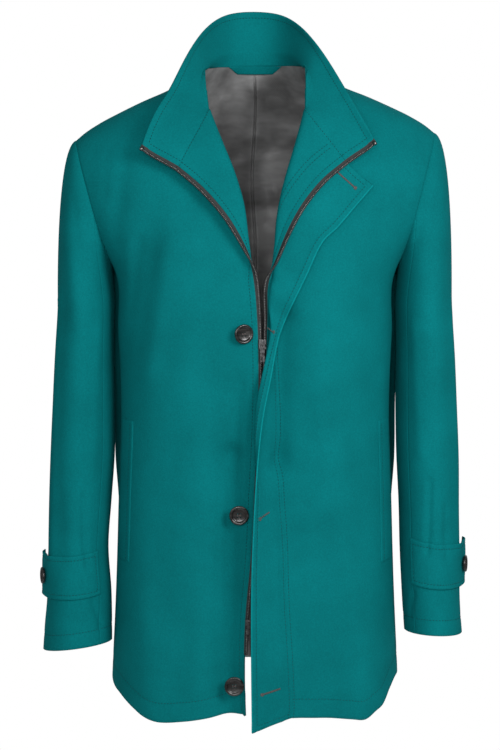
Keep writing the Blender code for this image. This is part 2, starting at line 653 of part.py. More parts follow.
sleeves = (
    ("right", -1, RIGHT_SLEEVE, right, right_out, back[:, 0], back_out[:, 0], RIGHT_TAB),
    ("left", 1, LEFT_SLEEVE, left, left_out, back[:, last], back_out[:, last], LEFT_TAB),
)
cuff_seats = []
for name, side, table, front, front_out, rear, rear_out, tab in sleeves:
    grid, out = sleeve_grid(side, table, front, front_out, rear, rear_out)
    upper = slice(FRONT_SEAM, 2 * ARM_ROWS - FRONT_SEAM + 1)
    wall("sleeve_upper_" + name, grid[:, upper], (grid - out * CLOTH)[:, upper], cloth)
    ends = list(range(2 * ARM_ROWS - FRONT_SEAM, 2 * ARM_ROWS)) + list(range(FRONT_SEAM + 1))
    under = grid[:, ends]
    under_out = out[:, ends]
    under[:, FRONT_SEAM] = (grid[:, 0] + grid[:, -1]) / 2
    inner = under - under_out * CLOTH
    for form in (under, inner):
        form[:, 0] += clear_of(form[:, 0], form[:, 1]) * SEAM * 3.1
        form[:, -1] += clear_of(form[:, -1], form[:, -2]) * SEAM * 3.1
    wall("sleeve_under_" + name, under, inner, cloth)
    cuff_seats.append((name, *tab_wall("cuff_tab_" + name, grid, out, tab)))

# Pocket welts, from the points of the fronts moved out
for name, shell, out in (("right", right, right_out), ("left", left, left_out)):
    near = []
    normal = []
    for share in WELT_SHARES:
        column = CHEST_SHARES.index(share)
        line = shell[:, column]
        levels = np.linspace(WELT_Z[0], WELT_Z[1], 5)
        aim = unit(out[LOWER_ROWS // 2, column])
        near.append([at_height(line, z) + aim * SEAM * 2 for z in levels])
        normal.append([aim] * 5)
    near = np.array(near)
    normal = np.array(normal)
    wall("pocket_welt_" + name, near + normal * WELT_WALL, near, cloth)

# Back lining with a pleat down its middle, and the hanger loop at the neck
lined = slice(2, last - 1)
near = back[1:, lined] - back_out[1:, lined] * (CLOTH + SEAM * 2)
lining_out = back_out[1:, lined].copy()
crease = near.shape[1] // 2
near[:-3, crease, 1] -= PLEAT
lining_face = near - lining_out * LINING
wall("back_lining", near, lining_face, satin)

loop_points = []
for share in np.linspace(-1.0, 1.0, 7):
    for level, narrow in ((LOOP_TOP, 1.0), (LOOP_FOOT, LOOP_NARROW)):
        x = LOOP_HALF * narrow * share
        line = np.array([at_height(column, level) for column in np.swapaxes(lining_face, 0, 1)])
        y = np.interp(x, line[:, 0], line[:, 1]) - SEAM * 2 - LOOP_BOW * (1 - share * share)
        loop_points.append((x, y, level))
loop = np.array(loop_points).reshape(7, 2, 3)
wall("hanger_loop", loop, loop - np.array([0.0, LOOP_WALL, 0.0]), cloth)

# Zip halves, beyond the front edges and up the collar ends
zips = (
    ("zip_right", right, right_out, collar[:, :2], collar_out[:, 0]),
    ("zip_left", left, left_out, collar[:, :-3:-1], collar_out[:, -1]),
)
for name, shell, out, band, band_out in zips:
    edge = np.concatenate([shell[ZIP_FOOT:, -1], band[1:, 0]])
    inside = np.concatenate([shell[ZIP_FOOT:, -2], band[1:, 1]])
    normal = np.concatenate([out[ZIP_FOOT:, -1], band_out[1:]])
    away = edge - inside
    run = unit(np.gradient(edge, axis=0))
    away = unit(away - run * np.sum(away * run, axis=1, keepdims=True))
    away[1:-1] = unit(away[:-2] + away[1:-1] + away[2:])
    edge = edge - normal * SEAM + away * SEAM * 3.9
    apart = np.clip((edge[:, 2:] - SLIDER_TOP_Z) / ZIP_OPENS, 0.0, 1.0)
    width = ZIP_WIDTH + (ZIP_OPEN_WIDTH - ZIP_WIDTH) * apart
    outer = np.stack([edge + away * SEAM, edge + away * (SEAM + width)], axis=1)
    wall(name, outer, outer - normal[:, None] * ZIP_WALL, tape)


def turned_piece(name, profile, seat, normal, surface):
    """Round piece from a profile of radius and height, set square to the cloth."""
    mesh = bpy.data.meshes.new(name)
    links = [(i, i + 1) for i in range(len(profile) - 1)]
    mesh.from_pydata([(r, 0.0, h) for r, h in profile], links, [])
    piece = place(name, mesh, surface)
    lathe = piece.modifiers.new("turn", "SCREW")
    lathe.steps = BUTTON_STEPS
    lathe.render_steps = BUTTON_STEPS
    lathe.use_merge_vertices = True
    lathe.merge_threshold = 0.00005
    lathe.use_normal_calculate = True
    aim = Vector(normal).normalized()
    turn = Vector((0.0, 0.0, 1.0)).rotation_difference(aim).to_matrix().to_4x4()
    piece.matrix_world = Matrix.Translation(Vector(seat)) @ turn
    return piece


def button_profile(radius):
    """Rim and dish of a sewn button."""
    shape = ((0.0, 0.0), (0.60, 0.0), (0.92, 0.0011), (1.0, 0.0024), (0.95, 0.0038),
             (0.84, 0.0043), (0.72, 0.0038), (0.60, 0.0026), (0.0, 0.0022))
    return [(radius * share, h) for share, h in shape]


def on_panel(panel, out, x, z):
    """Place and outward direction on a front at a side position and height."""
    line = np.array([at_height(panel[:, column], z) for column in range(len(CHEST_SHARES))])
    order = np.argsort(line[:, 0])
    here = np.array([np.interp(x, line[order, 0], line[order, k]) for k in range(3)])
    row = int(np.argmin(np.abs(panel[:LOWER_ROWS + 1, -1, 2] - z)))
    return here, unit(out[row, len(CHEST_SHARES) - 2])


for number, button in enumerate(FRONT_BUTTONS):
    here, aim = on_panel(right, right_out, button.x, button.z)
    leaned = unit(aim + np.array([button.lean, 0.0, 0.0]))
    off = BUTTON_OFF + BUTTON_RADIUS * button.lean * BUTTON_HEEL
    turned_piece("button_front_%d" % (number + 1), button_profile(BUTTON_RADIUS),
                 here + aim * off, leaned, horn)
for name, here, aim in cuff_seats:
    turned_piece("button_cuff_" + name, button_profile(CUFF_BUTTON_RADIUS),
                 here + aim * SEAM * 2, aim, horn)

cutters = bpy.data.collections.new("cutters")
bpy.context.scene.collection.children.link(cutters)


def block(name, middle_point, size, group):
    """Plain block by its middle and its three sizes."""
    mesh = bpy.data.meshes.new(name)
    form = bmesh.new()
    bmesh.ops.create_cube(form, size=1.0)
    bmesh.ops.scale(form, vec=Vector(size), verts=form.verts)
    bmesh.ops.translate(form, vec=Vector(middle_point), verts=form.verts)
    form.to_mesh(mesh)
    form.free()
    piece = bpy.data.objects.new(name, mesh)
    group.objects.link(piece)
    return piece


def join(piece, tool, operation):
    """Block added to or cut from another."""
    step = piece.modifiers.new(operation.lower(), "BOOLEAN")
    step.operation = operation
    step.solver = "EXACT"
    step.object = tool
    tool.hide_render = True
    tool.display_type = "WIRE"


# Zip sliders, each a plate with a bridge over it, and the pulls that hang from the bridges
for name, height in (("top", SLIDER_TOP_Z), ("bottom", SLIDER_BOTTOM_Z)):
    x = (through(RIGHT_FRONT, "edge_x", height) + through(LEFT_FRONT, "edge_x", height)) / 2
    plate_y = body_y(x, height, -1) - SLIDER_OFF
    face_y = plate_y - PLATE[1]
    bar = (x, face_y - BAR_OFF, height + BAR_RISE)
    slider = block("zip_slider_" + name, (x, plate_y - PLATE[1] / 2, height), PLATE, coat)
    slider.data.materials.append(metal)
    bridge = block("bridge_" + name, (x, face_y - BRIDGE_OFF, bar[2]), BRIDGE, cutters)
    eye = block("eye_" + name, bar, EYE, cutters)
    join(bridge, eye, "DIFFERENCE")
    join(slider, bridge, "UNION")
    pull_z = bar[2] + PULL_HEAD - PULL[2] / 2
    pull = block("zip_pull_" + name, (bar[0], bar[1], pull_z), PULL, coat)
    pull.data.materials.append(metal)
    slot = block("slot_" + name, (bar[0], bar[1], bar[2] - SLOT_DROP), SLOT, cutters)
    join(pull, slot, "DIFFERENCE")
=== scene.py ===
# Car coat in its worn form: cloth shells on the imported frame, with their sewing, zip and buttons.
import math
from collections import namedtuple
from itertools import product

import bmesh
import bpy
import numpy as np
from mathutils import Matrix, Vector


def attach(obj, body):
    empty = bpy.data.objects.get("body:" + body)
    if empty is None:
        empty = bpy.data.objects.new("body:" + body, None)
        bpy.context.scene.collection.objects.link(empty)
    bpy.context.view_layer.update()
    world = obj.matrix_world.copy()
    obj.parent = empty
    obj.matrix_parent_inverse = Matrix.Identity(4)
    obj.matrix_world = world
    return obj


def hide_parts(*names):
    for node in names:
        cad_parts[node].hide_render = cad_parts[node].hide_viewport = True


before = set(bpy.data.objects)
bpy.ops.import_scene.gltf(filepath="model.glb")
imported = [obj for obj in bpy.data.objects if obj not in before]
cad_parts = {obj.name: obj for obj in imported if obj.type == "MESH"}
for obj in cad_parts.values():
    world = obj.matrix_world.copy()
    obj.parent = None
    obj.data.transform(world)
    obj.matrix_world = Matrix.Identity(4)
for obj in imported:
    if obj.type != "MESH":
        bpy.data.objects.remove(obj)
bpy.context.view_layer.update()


def in_metres(kind, rows, plain=()):
    """Rows of a table given in millimetres, as lengths in metres; the plain columns stay as they are."""
    parts = [1 if name in plain else 1000 for name in kind._fields]
    return tuple(kind(*(value / part for value, part in zip(row, parts))) for row in rows)


# Cloth walls, as in the solids
CLOTH = 0.0016
FACING = 0.0012
LINING = 0.0010
COLLAR_WALL = 0.0030
SEAM = 0.0003

# Body sections from the hem to above the shoulders
Section = namedtuple("Section", "z half_width front back")
SECTIONS = in_metres(Section, (
    (-870, 197.5, 142, 134), (-700, 188, 138, 128), (-550, 182.5, 133, 116), (-450, 179, 130, 108),
    (-350, 182, 131, 114), (-262, 188, 130, 122), (-240, 200, 128, 124), (-200, 225, 124, 126),
    (-150, 245, 118, 124), (-100, 262, 112, 120), (0, 275, 100, 112), (100, 280, 90, 100),
))
SQUARENESS = 2.7
ARMPIT_Z = -0.262
CHEST_Z = -0.240

# How far the back's sides stand out behind the sleeves, by height
Swell = namedtuple("Swell", "z out")
SWELLS = in_metres(Swell, (
    (-870, 0), (-680, 0), (-600, 3), (-520, 12.5), (-440, 15.5), (-360, 15.5), (-310, 13), (-290, 13.2),
    (-274, 11.8), (-262, 6), (-250, 0), (-100, 0),
))
SWELL_DEPTH = 0.080

# Shoulder ridge, out from the neck
Ridge = namedtuple("Ridge", "x z")
RIDGE = in_metres(Ridge, (
    (0, 80), (30, 62), (66, 0), (109, -27.5), (150, -45), (178, -58), (204, -71.1), (225, -84.3),
    (236, -93.5), (270, -130),
))
SHOULDER_LEAN = 0.0215
NECK_X = 0.066
NECK_SPREAD = 0.018
SHOULDER_X = 0.2355

# Hem height by the share of the way from the side seam to the middle
Hem = namedtuple("Hem", "share right left back")
HEM = in_metres(Hem, (
    (0, -815, -815, -815), (0.1, -820, -812, -818.5), (0.2, -824, -812, -822),
    (0.3, -827.8, -821.3, -825.5), (0.4, -835.2, -839, -829), (0.47, -841.2, -844.2, -830.5),
    (0.55, -848.2, -851.5, -832), (0.65, -852.4, -849, -833.5), (0.8, -848.9, -844.3, -835),
    (0.9, -843.4, -843.6, -835.5), (1, -837.5, -842.7, -836),
), ("share",))

# Front edges by height on the roll line: the roll, the zip edge and how far that stands off
Front = namedtuple("Front", "z roll_x edge_x edge_z lift")
RIGHT_FRONT = in_metres(Front, (
    (-870, -18.5, -14.5, -870, 0), (-715, -17.5, -13.5, -715, 0), (-617, -9, -5, -617, 0),
    (-540, -5.3, -1.3, -540, 0), (-463, -1.4, 2.6, -463, 0), (-360, -0.4, 3.6, -360, 0),
    (-316, -2, 2, -316, 0), (-276, -6, -1.5, -276, 1), (-224, -13.7, -9.5, -240, 6),
    (-180, -19.5, -24.3, -207.5, 10), (-136, -31, -44.6, -177.5, 13), (-97, -45.6, -69, -151.5, 14),
    (-59, -60, -97.4, -128.5, 14),
))
LEFT_FRONT = in_metres(Front, (
    (-870, 15, 11, -870, 0), (-715, 1.5, -2.5, -715, 0), (-617, 10, 6, -617, 0), (-540, 13.7, 9.7, -540, 0),
    (-463, 17.6, 13.6, -463, 0), (-360, 18.6, 14.6, -360, 0), (-316, 20, 16, -316, 0),
    (-279, 20.8, 16.3, -279, 1), (-234, 27.8, 28, -243.7, 7), (-190, 32.5, 41.3, -208, 12),
    (-145, 42.2, 59.7, -174.2, 15), (-100, 54.2, 84.5, -144.2, 16), (-58, 65, 114, -120.5, 16),
))

# Fly flap by height on the roll line: seam inside the zip edge, then the free edge
Flap = namedtuple("Flap", "z seam edge_x edge_z lift turn")
FLAP = in_metres(Flap, (
    (-870, 42, -3, -883.5, 14, 0), (-843, 42, -3.2, -856, 15, 0), (-736, 46, -4.2, -745, 22, 0),
    (-631, 34, -3.5, -640, 27, 0), (-527, 23, 1.3, -538, 28, 10), (-420, 18, 10, -442, 24, 78),
    (-360, 14, 19.5, -394, 20, 50), (-316, 9, 30, -342, 16, 0), (-279, 6, 43, -308, 13, 0),
    (-234, 6, 64, -264, 11, 0), (-190, 6, 83, -224, 10, 0), (-145, 6, 104, -203, 10, 0),
    (-100, 6, 127, -177, 10, 0), (-58, 6, 148.7, -153.1, 10, 0),
))
FLAP_TURN = 0.016

# Collar top edge by the share of the seam from the front edge to the middle of the back
Station = namedtuple("Station", "share x y z")
RIGHT_COLLAR = in_metres(Station, (
    (0, -143.2, -104, -101.7), (0.16, -131, -86, -65), (0.34, -106.6, -55, -28.6), (0.5, -84.4, -16, 25.6),
    (0.66, -68, 28, 56.6), (0.83, -48, 70, 68), (1, -2, 87, 72.5),
), ("share",))
LEFT_COLLAR = in_metres(Station, (
    (0, 150, -104, -94.5), (0.16, 131, -86, -60), (0.34, 111, -55, -25), (0.5, 83, -16, 26),
    (0.66, 63, 28, 59), (0.83, 44, 70, 68), (1, -2, 87, 72.5),
), ("share",))
COLLAR_BULGE = 0.003

# Sleeve sections: outer and inner edge from the middle, middle and half depth fore and aft
Ring = namedtuple("Ring", "z outer inner middle_y half_depth tilt_out tilt_front")
RIGHT_SLEEVE = in_metres(Ring, (
    (-770, 285, 192.5, -36, 56, -0.13, 0.14), (-736, 282.5, 192.5, -34, 57, -0.13, 0.13),
    (-706, 279.5, 193, -32, 58, -0.12, 0.11), (-640, 278.5, 197, -25, 61, -0.07, 0.04),
    (-581, 277.5, 193, -18, 66, -0.04, 0.02), (-512, 275, 188, -13, 71, -0.02, 0),
    (-444, 271.5, 187.5, -9, 74, 0, 0), (-376, 267, 188, -5, 77, 0, 0), (-315, 262, 186.8, -2, 80, 0, 0),
), ("tilt_out", "tilt_front"))
LEFT_SLEEVE = in_metres(Ring, (
    (-751, 278, 201, -36, 63, -0.03, 0.14), (-719, 275.5, 198.5, -34, 64, -0.06, 0.13),
    (-695, 274.5, 197, -32, 64, -0.09, 0.11), (-640, 275.5, 194.5, -25, 66, -0.03, 0.04),
    (-581, 274.5, 193, -18, 69, -0.02, 0.02), (-512, 273.5, 189.5, -13, 72, -0.01, 0),
    (-444, 270, 188, -9, 74, 0, 0), (-376, 266, 188, -5, 77, 0, 0), (-315, 261, 186.8, -2, 80, 0, 0),
), ("tilt_out", "tilt_front"))
CAP_SWELL = 0.062
CAP_SHARES = (0.0, 0.10, 0.24, 0.44, 0.70, 1.0)

# Largest folds on the body, as in the solids
Fold = namedtuple("Fold", "x_top z_top x_end z_end width depth")
FRONT_FOLDS = in_metres(Fold, (
    (-166, -110, -180, -225, 12, 4), (-130, -215, -168, -415, 17, 6.5), (-98, -235, -140, -430, 22, -3),
    (-45, -420, -48, -800, 26, 3.5), (-138, -880, -148, -690, 20, -4), (195, -120, 190, -170, 12, 3),
    (150, -280, 158, -450, 18, 5.5), (60, -330, 66, -560, 22, 4), (146, -880, 152, -700, 20, -4),
))
BACK_FOLDS = in_metres(Fold, (
    (-120, -220, -150, -440, 20, -5.5), (110, -240, 146, -430, 22, -5), (-50, -420, -70, -820, 30, -5),
    (60, -480, 64, -820, 30, -5),
))

# Smaller creases that only the cloth shows
FRONT_CREASES = in_metres(Fold, (
    (-12, -400, -28, -490, 13, 6), (-30, -500, -36, -880, 16, 11.5), (-66, -470, -74, -800, 20, -3),
    (32, -322, 27, -500, 19, 13), (27, -500, 32, -560, 16, 4), (80, -330, 88, -560, 28, -6),
    (-80, -250, -92, -420, 26, -3.5), (54, -600, 60, -840, 16, 3), (-190, -118, -194, -170, 6, 1.2),
    (-148, -225, -174, -390, 9, 4.6), (-116, -240, -138, -395, 14, -3.4), (-82, -480, -98, -640, 20, -1.6),
    (-120, -560, -126, -700, 16, 1.4), (-70, -700, -76, -860, 18, -1.6), (178, -105, 184, -150, 7, 1),
    (128, -210, 136, -300, 12, -1.6), (112, -420, 120, -580, 18, -1.6), (92, -600, 98, -850, 22, 1.8),
    (140, -560, 146, -690, 14, 1.2),
))
BACK_CREASES = in_metres(Fold, (
    (-196, -140, -160, -235, 12, -3), (192, -130, 152, -225, 13, -2.8), (-90, -150, -104, -290, 16, -2.2),
    (78, -130, 92, -260, 18, -2), (-150, -460, -60, -492, 11, -2.2), (148, -440, 70, -466, 12, -2.4),
    (12, -380, -6, -560, 20, 2.2), (-112, -590, -126, -815, 20, -3), (122, -610, 132, -820, 18, -2.6),
))
Wave = namedtuple("Wave", "across down turn height")
UNEVEN = in_metres(Wave, (
    (3.1, 2.3, 0.4, 0.7), (6.7, -1.9, 1.9, 0.5), (2.2, 7.4, 3, 0.4), (10.3, 4.6, 5.1, 0.3),
), ("across", "down", "turn"))
EVEN_MIDDLE = 0.055
ZIP_FADE = 0.018
HEM_TURN = 0.006
HEM_ROLL = 0.090
LEAST_STEP = 0.3
TOP_CURVE = 1.5
ROLL_CURVE = 4
CLIMB_CURVE = 0.7
RIDGE_STEP = 0.002
Crease = namedtuple("Crease", "turn_top z_top turn_end z_end width depth")
SLEEVE_CREASES = {
    "right": in_metres(Crease, (
        (0.62, -300, 0.7, -640, 10, -3), (0.2, -330, 0.28, -640, 14, 2.2), (1.78, -560, 1.96, -650, 6, 3),
        (2.1, -700, 2.4, -735, 5, 2.2), (1.05, -560, 1.2, -645, 12, 1.2), (2.2, -330, 2.05, -520, 9, -1.6),
        (1.3, -170, 1.75, -270, 12, 1.8), (1, -215, 1.5, -330, 16, -1.6), (-0.9, -180, -1.6, -270, 12, 2.4),
        (-0.8, -440, -2, -475, 10, 2.8), (-0.7, -505, -1.9, -520, 9, 2.4), (-1.2, -560, -2.2, -600, 11, 2),
        (-0.3, -650, -0.55, -735, 10, 1.6),
    ), ("turn_top", "turn_end")),
    "left": in_metres(Crease, (
        (0.58, -310, 0.66, -630, 11, -2.6), (0.18, -340, 0.24, -630, 13, 2),
        (1.66, -540, 1.78, -630, 6, 2.8), (1.15, -575, 1.18, -640, 7, 2), (2.35, -690, 2.55, -720, 6, 2),
        (2.1, -340, 1.95, -500, 10, -1.4), (1.25, -165, 1.65, -250, 12, 1.6),
        (-0.85, -175, -1.55, -260, 13, 2.2), (-0.9, -430, -1.95, -450, 10, 2.6),
        (-0.75, -485, -2.05, -510, 9, 2.6), (-1.3, -545, -2.1, -590, 12, 1.8),
        (-0.35, -640, -0.5, -725, 10, 1.4),
    ), ("turn_top", "turn_end")),
}
LINING_CREASES = in_metres(Fold, (
    (-60, -40, -50, -200, 10, -2.2), (30, -50, 36, -120, 12, -2.6), (20, -130, 40, -210, 11, -3),
    (50, -160, 30, -300, 10, 2.4), (-30, -120, -40, -330, 9, 2.4), (16, -225, 60, -250, 9, -2.2),
    (12, -100, 55, -118, 8, 2), (-20, -200, -90, -240, 10, 1.8), (-110, -300, -90, -700, 18, -3),
    (100, -340, 90, -760, 18, -3),
))

# Welts, tabs, zip, lining and hanger loop
WELT_SHARES = (0.172, 0.354)
WELT_Z = (-0.4600, -0.6465)
WELT_PROUD = 0.0011
WELT_ROWS = 81
Tab = namedtuple("Tab", "inner_top inner_foot outer_top outer_foot")
TABS = in_metres(Tab, ((-635, -692, -648, -703), (-618, -677, -631, -687)))
TAB_WALL = 0.0020
TAB_LIFT = 0.009
TAB_ROWS = 25
TAB_SPAN = 7
TAB_FREE = 3
ZIP_WIDTH = 0.0036
ZIP_OPEN_WIDTH = 0.0056
ZIP_OPENS = 0.140
ZIP_WALL = 0.0022
ZIP_FOOT = 17
ZIP_SPAN = np.linspace(-0.4, 1.0, 6)
ZIP_PASSES = 6
SLIDER_TOP_Z = -0.352
TOOTH_PITCH = 0.0021
TOOTH_HALF = (0.00060, 0.00120, 0.00128)
TOOTH_IN = 0.0008
TOOTH_DEEP = 0.0011
STOP_HALF = (0.0017, 0.0024, 0.0019)
LINING_COLUMNS = 161
LINING_FOOT = 8
LINING_TUCK = 0.010
LINING_THIN = 0.1
LINING_FOLLOWS = 0.9
LINING_EDGE = 0.04
LINING_CROWD = 1.5
PLEAT = 0.006
PLEAT_HALF = 0.011
PLEAT_FOLD = 0.0015
PLEAT_STARTS = 0.020
PLEAT_OFF = 0.0015
PLEAT_WAVER = 0.0022
PLEAT_WAVES = 31.0
PLEAT_CREASE = 0.9
LOOP_TOP = -0.0008
LOOP_FOOT = -0.0108
LOOP_HALF = 0.0355
LOOP_NARROW = 0.66
LOOP_BOW = 0.0040
LOOP_WALL = 0.0012
LOOP_COLUMNS = 41
LOOP_ROWS = 9
LOOP_CLEAR = 24

# How the lapels and sleeves leave the body
LAPEL_LEAVES = 0.035
LAPEL_RISES = (0.0, -2.4, 1.0)
LAPEL_ARRIVES = 1.1
UNDERARM_LEAVES = 0.004
CAP_FORE = 0.020
CAP_DROP = 0.050
CAP_DROP_LESS = 0.030
ARM_RADIUS = 0.055
PAST_CAP = 40

# Fly flap: how it leaves its seam, and its rolled free edge
FLAP_ROOT = 0.0004
FLAP_SEATED = 0.16
FLAP_AHEAD = 0.004
FLAP_LEAVES = 0.080
FLAP_LEAVES_LESS = 0.030
FLAP_ARRIVES = 0.9
FLAP_ARRIVES_TURNED = 1.2
FLAP_RISE = 0.012
FLAP_BOW = 0.003
FLAP_SEAM_ROWS = 6
EDGE_RADIUS = 0.0011
EDGE_SIDES = 8

# Sewing: insets from the edges, the groove that it presses and the stitches
EDGE_STITCH = 0.0068
HEM_STITCH = 0.0270
CUFF_STITCH = 0.0205
TAB_STITCH = 0.0056
WELT_STITCH = 0.0075
SEAM_STITCH = 0.0035
COLLAR_SEAM = 0.0018
FACING_LINES = (0.0240, 0.0300)
PRESS = 0.0005
FLAP_PRESS = 0.0007
WELT_PRESS = 0.0004
PRESS_WIDTH = 0.0018
COLLAR_PRESS_WIDTH = 0.0022
CUFF_PRESS_WIDTH = 0.0030
HEM_PRESS_WIDTH = 0.0040
LIP = 0.45
STITCH_PITCH = 0.0042
STITCH_HALF = (0.00165, 0.00046, 0.00030)
STITCH_RAISED = 0.35
STITCH_STARTS = 0.004
CUFF_STARTS = 0.003
FACING_STOPS = 0.006

# How finely the panels are sampled
CHEST_SHARES = (0.0, 0.085, 0.172, 0.263, 0.354, 0.45, 0.55, 0.65, 0.73, 0.80, 0.87, 0.94, 1.0)
LAPEL_SHARES = (0.0, 0.07, 0.15, 0.25, 0.38, 0.55, 0.72, 0.87, 1.0)
FLAP_SHARES = (0.0, 0.05, 0.14, 0.30, 0.46, 0.62, 0.78, 0.90, 1.0)
CHEST_TIMES = 6
LAPEL_TIMES = 4
FLAP_TIMES = 6
NECK_COLUMN = 8 * CHEST_TIMES
LOWER_ROWS = 120
ARM_TIMES = 8
ARM_ROWS = 8 * ARM_TIMES
COLLAR_ROWS = 36
COLLAR_PASSES = 60
COLLAR_PULL = 0.8
COLLAR_EASE = 4
CAP_TIMES = 6
SLEEVE_ROWS = 110
FRONT_SEAM = 2 * ARM_TIMES


def finer(shares, times):
    """Shares with evenly spaced steps put between them."""
    steps = np.arange((len(shares) - 1) * times + 1) / times
    return np.interp(steps, np.arange(len(shares)), shares)


CHEST = finer(CHEST_SHARES, CHEST_TIMES)
LAPEL = finer(LAPEL_SHARES, LAPEL_TIMES)[1:]
ROLL_COLUMN = len(CHEST) - 1
NECK_SHARE = CHEST[NECK_COLUMN]
PAST_NECK = np.clip((CHEST - NECK_SHARE) / (1 - NECK_SHARE), 0.0, 1.0)
SHOULDER = SHOULDER_X + (NECK_X - SHOULDER_X) * np.clip(CHEST / NECK_SHARE, 0.0, 1.0)


def curve(t, start, leave, end, arrive):
    """Smooth course from a start to an end that leaves and arrives at given rates."""
    first = (1 + 2 * t) * (1 - t) ** 2 * start + t * (1 - t) ** 2 * leave
    return first + t * t * (3 - 2 * t) * end + t * t * (t - 1) * arrive


def through(rows, column, at):
    """Smooth curve through a named column of a table, by the table's first column."""
    keys = np.array([row[0] for row in rows])
    values = np.array([getattr(row, column) for row in rows])
    slopes = np.gradient(values, keys)
    at = np.clip(np.asarray(at, dtype=float), keys[0], keys[-1])
    low = np.clip(np.searchsorted(keys, at) - 1, 0, len(keys) - 2)
    step = keys[low + 1] - keys[low]
    t = (at - keys[low]) / step
    return curve(t, values[low], step * slopes[low], values[low + 1], step * slopes[low + 1])


def bend(start, leave, end, arrive, share):
    """Curve between two points that leaves and arrives along given runs."""
    return curve(np.asarray(share, dtype=float)[..., None], start, leave, end, arrive)


def unit(vectors):
    """Vectors scaled to a length of one."""
    vectors = np.asarray(vectors, dtype=float)
    return vectors / np.maximum(np.linalg.norm(vectors, axis=-1, keepdims=True), 1e-12)


def run_of(line):
    """Length along a line, at each of its points."""
    return np.concatenate([[0.0], np.cumsum(np.linalg.norm(np.diff(line, axis=0), axis=1))])


def read(values, run, at):
    """Points or directions read at places along a run."""
    return np.stack([np.interp(at, run, values[:, k]) for k in range(3)], axis=-1)


def relief(folds, x, z):
    """Depth of the troughs at a place on a panel."""
    total = np.zeros(np.broadcast(x, z).shape)
    for x_top, z_top, x_end, z_end, width, depth in folds:
        run_x = x_end - x_top
        run_z = z_end - z_top
        along = np.clip(((x - x_top) * run_x + (z - z_top) * run_z) / (run_x ** 2 + run_z ** 2), 0.0, 1.0)
        gap = np.hypot(x - x_top - along * run_x, z - z_top - along * run_z)
        total = total + depth * np.exp(-(gap / width) ** 2)
    return total


def waver(x, z):
    """Slight unevenness of a hanging panel, less along the middle."""
    total = 0.0
    for wave in UNEVEN:
        total = total + wave.height * np.sin(2 * math.pi * (wave.across * x + wave.down * z) + wave.turn)
    return total * (1 - np.exp(-(x / EVEN_MIDDLE) ** 2))


def ridge_z(x):
    """Height of the shoulder ridge."""
    return through(RIDGE, "z", np.abs(x)) + SHOULDER_LEAN * np.asarray(x, dtype=float)


def half_width(z):
    """Half of the body's width at a height."""
    return through(SECTIONS, "half_width", z)


def body_y(x, z, face):
    """Depth of the front (face -1) or back (face +1) of the body at x and z."""
    depth = through(SECTIONS, "front" if face < 0 else "back", z)
    across = np.clip(np.abs(x) / half_width(z), 0.0, 1.0)
    rise = np.clip((z - CHEST_Z) / (ridge_z(x) - CHEST_Z), 0.0, 1.0)
    full = (1 - across ** SQUARENESS) ** (1 / SQUARENESS) * np.sqrt(1 - rise * rise)
    if face < 0:
        zip_fade = 1 - np.exp(-(x / ZIP_FADE) ** 4)
        uneven = relief(FRONT_FOLDS, x, z) + relief(FRONT_CREASES, x, z) * zip_fade
    else:
        uneven = relief(BACK_FOLDS + BACK_CREASES, x, z)
    return face * (depth * full + SEAM / 2) + (uneven + waver(x, z)) * full


def spread(share):
    """Share of the half width that a column stands at."""
    return np.maximum(np.cos(share * math.pi / 2), 0.0) ** (2 / SQUARENESS)


def panel_rows(hem_z, top_x, top_z, below):
    """Rows of a panel from the hem up: x, z, how far the hem turns in, and the rise above the armpit."""
    for low in np.arange(LOWER_ROWS + 1) / LOWER_ROWS:
        z = hem_z + (ARMPIT_Z - hem_z) * low
        yield below(z), z, HEM_TURN * max(0.0, 1 - low / HEM_ROLL) ** 2, 0.0
    arm_x = below(ARMPIT_Z)
    for high in np.sin(math.pi / 2 * np.arange(1, ARM_ROWS + 1) / ARM_ROWS):
        yield arm_x + (top_x - arm_x) * high, ARMPIT_Z + (top_z - ARMPIT_Z) * high, 0.0, high


def onward(x):
    """The same run of places from end to end, with no step that goes back."""
    whole = x[-1] - x[0]
    least = abs(whole) / len(x) * LEAST_STEP
    steps = np.maximum(np.diff(x) * np.sign(whole), least)
    return x[0] + whole * np.concatenate([[0.0], np.cumsum(steps)]) / steps.sum()


def front_panel(side, table):
    """Grid of a front from the side to the zip edge, with the lapel rolled out."""
    top = table[-1]
    top_x = side * SHOULDER + (top.roll_x - side * NECK_X) * PAST_NECK ** TOP_CURVE
    neck_z = ridge_z(side * NECK_X)
    top_z = np.where(PAST_NECK > 0, neck_z + (top.z - neck_z) * PAST_NECK, ridge_z(top_x))
    hem_z = through(HEM, "right" if side < 0 else "left", CHEST)

    def below(z):
        roll = through(table, "roll_x", z)
        return roll + (side * half_width(z) - roll) * spread(CHEST)

    grid = []
    for x, z, turned, high in panel_rows(hem_z, top_x, top_z, below):
        if high > 0.0:
            x = x + (through(table, "roll_x", z[-1]) - x[-1]) * CHEST ** ROLL_CURVE
            climb = math.sin(2 * math.asin(high)) ** CLIMB_CURVE if high < 1.0 else 0.0
            x = x + side * NECK_SPREAD * np.sin(math.pi * PAST_NECK) * climb
            x[NECK_COLUMN:] = onward(x[NECK_COLUMN:])
        chest = np.stack([x, body_y(x, z, -1) + turned, z], axis=-1)
        grid.append(np.concatenate([chest, lapel_row(table, chest)]))
    return np.array(grid)


def off_front(table, height):
    """Point of an edge that stands off the front, from its table's row at a height on the roll line."""
    x, z, lift = (through(table, column, height) for column in ("edge_x", "edge_z", "lift"))
    return np.array([x, body_y(x, z, -1) - lift, z]), lift


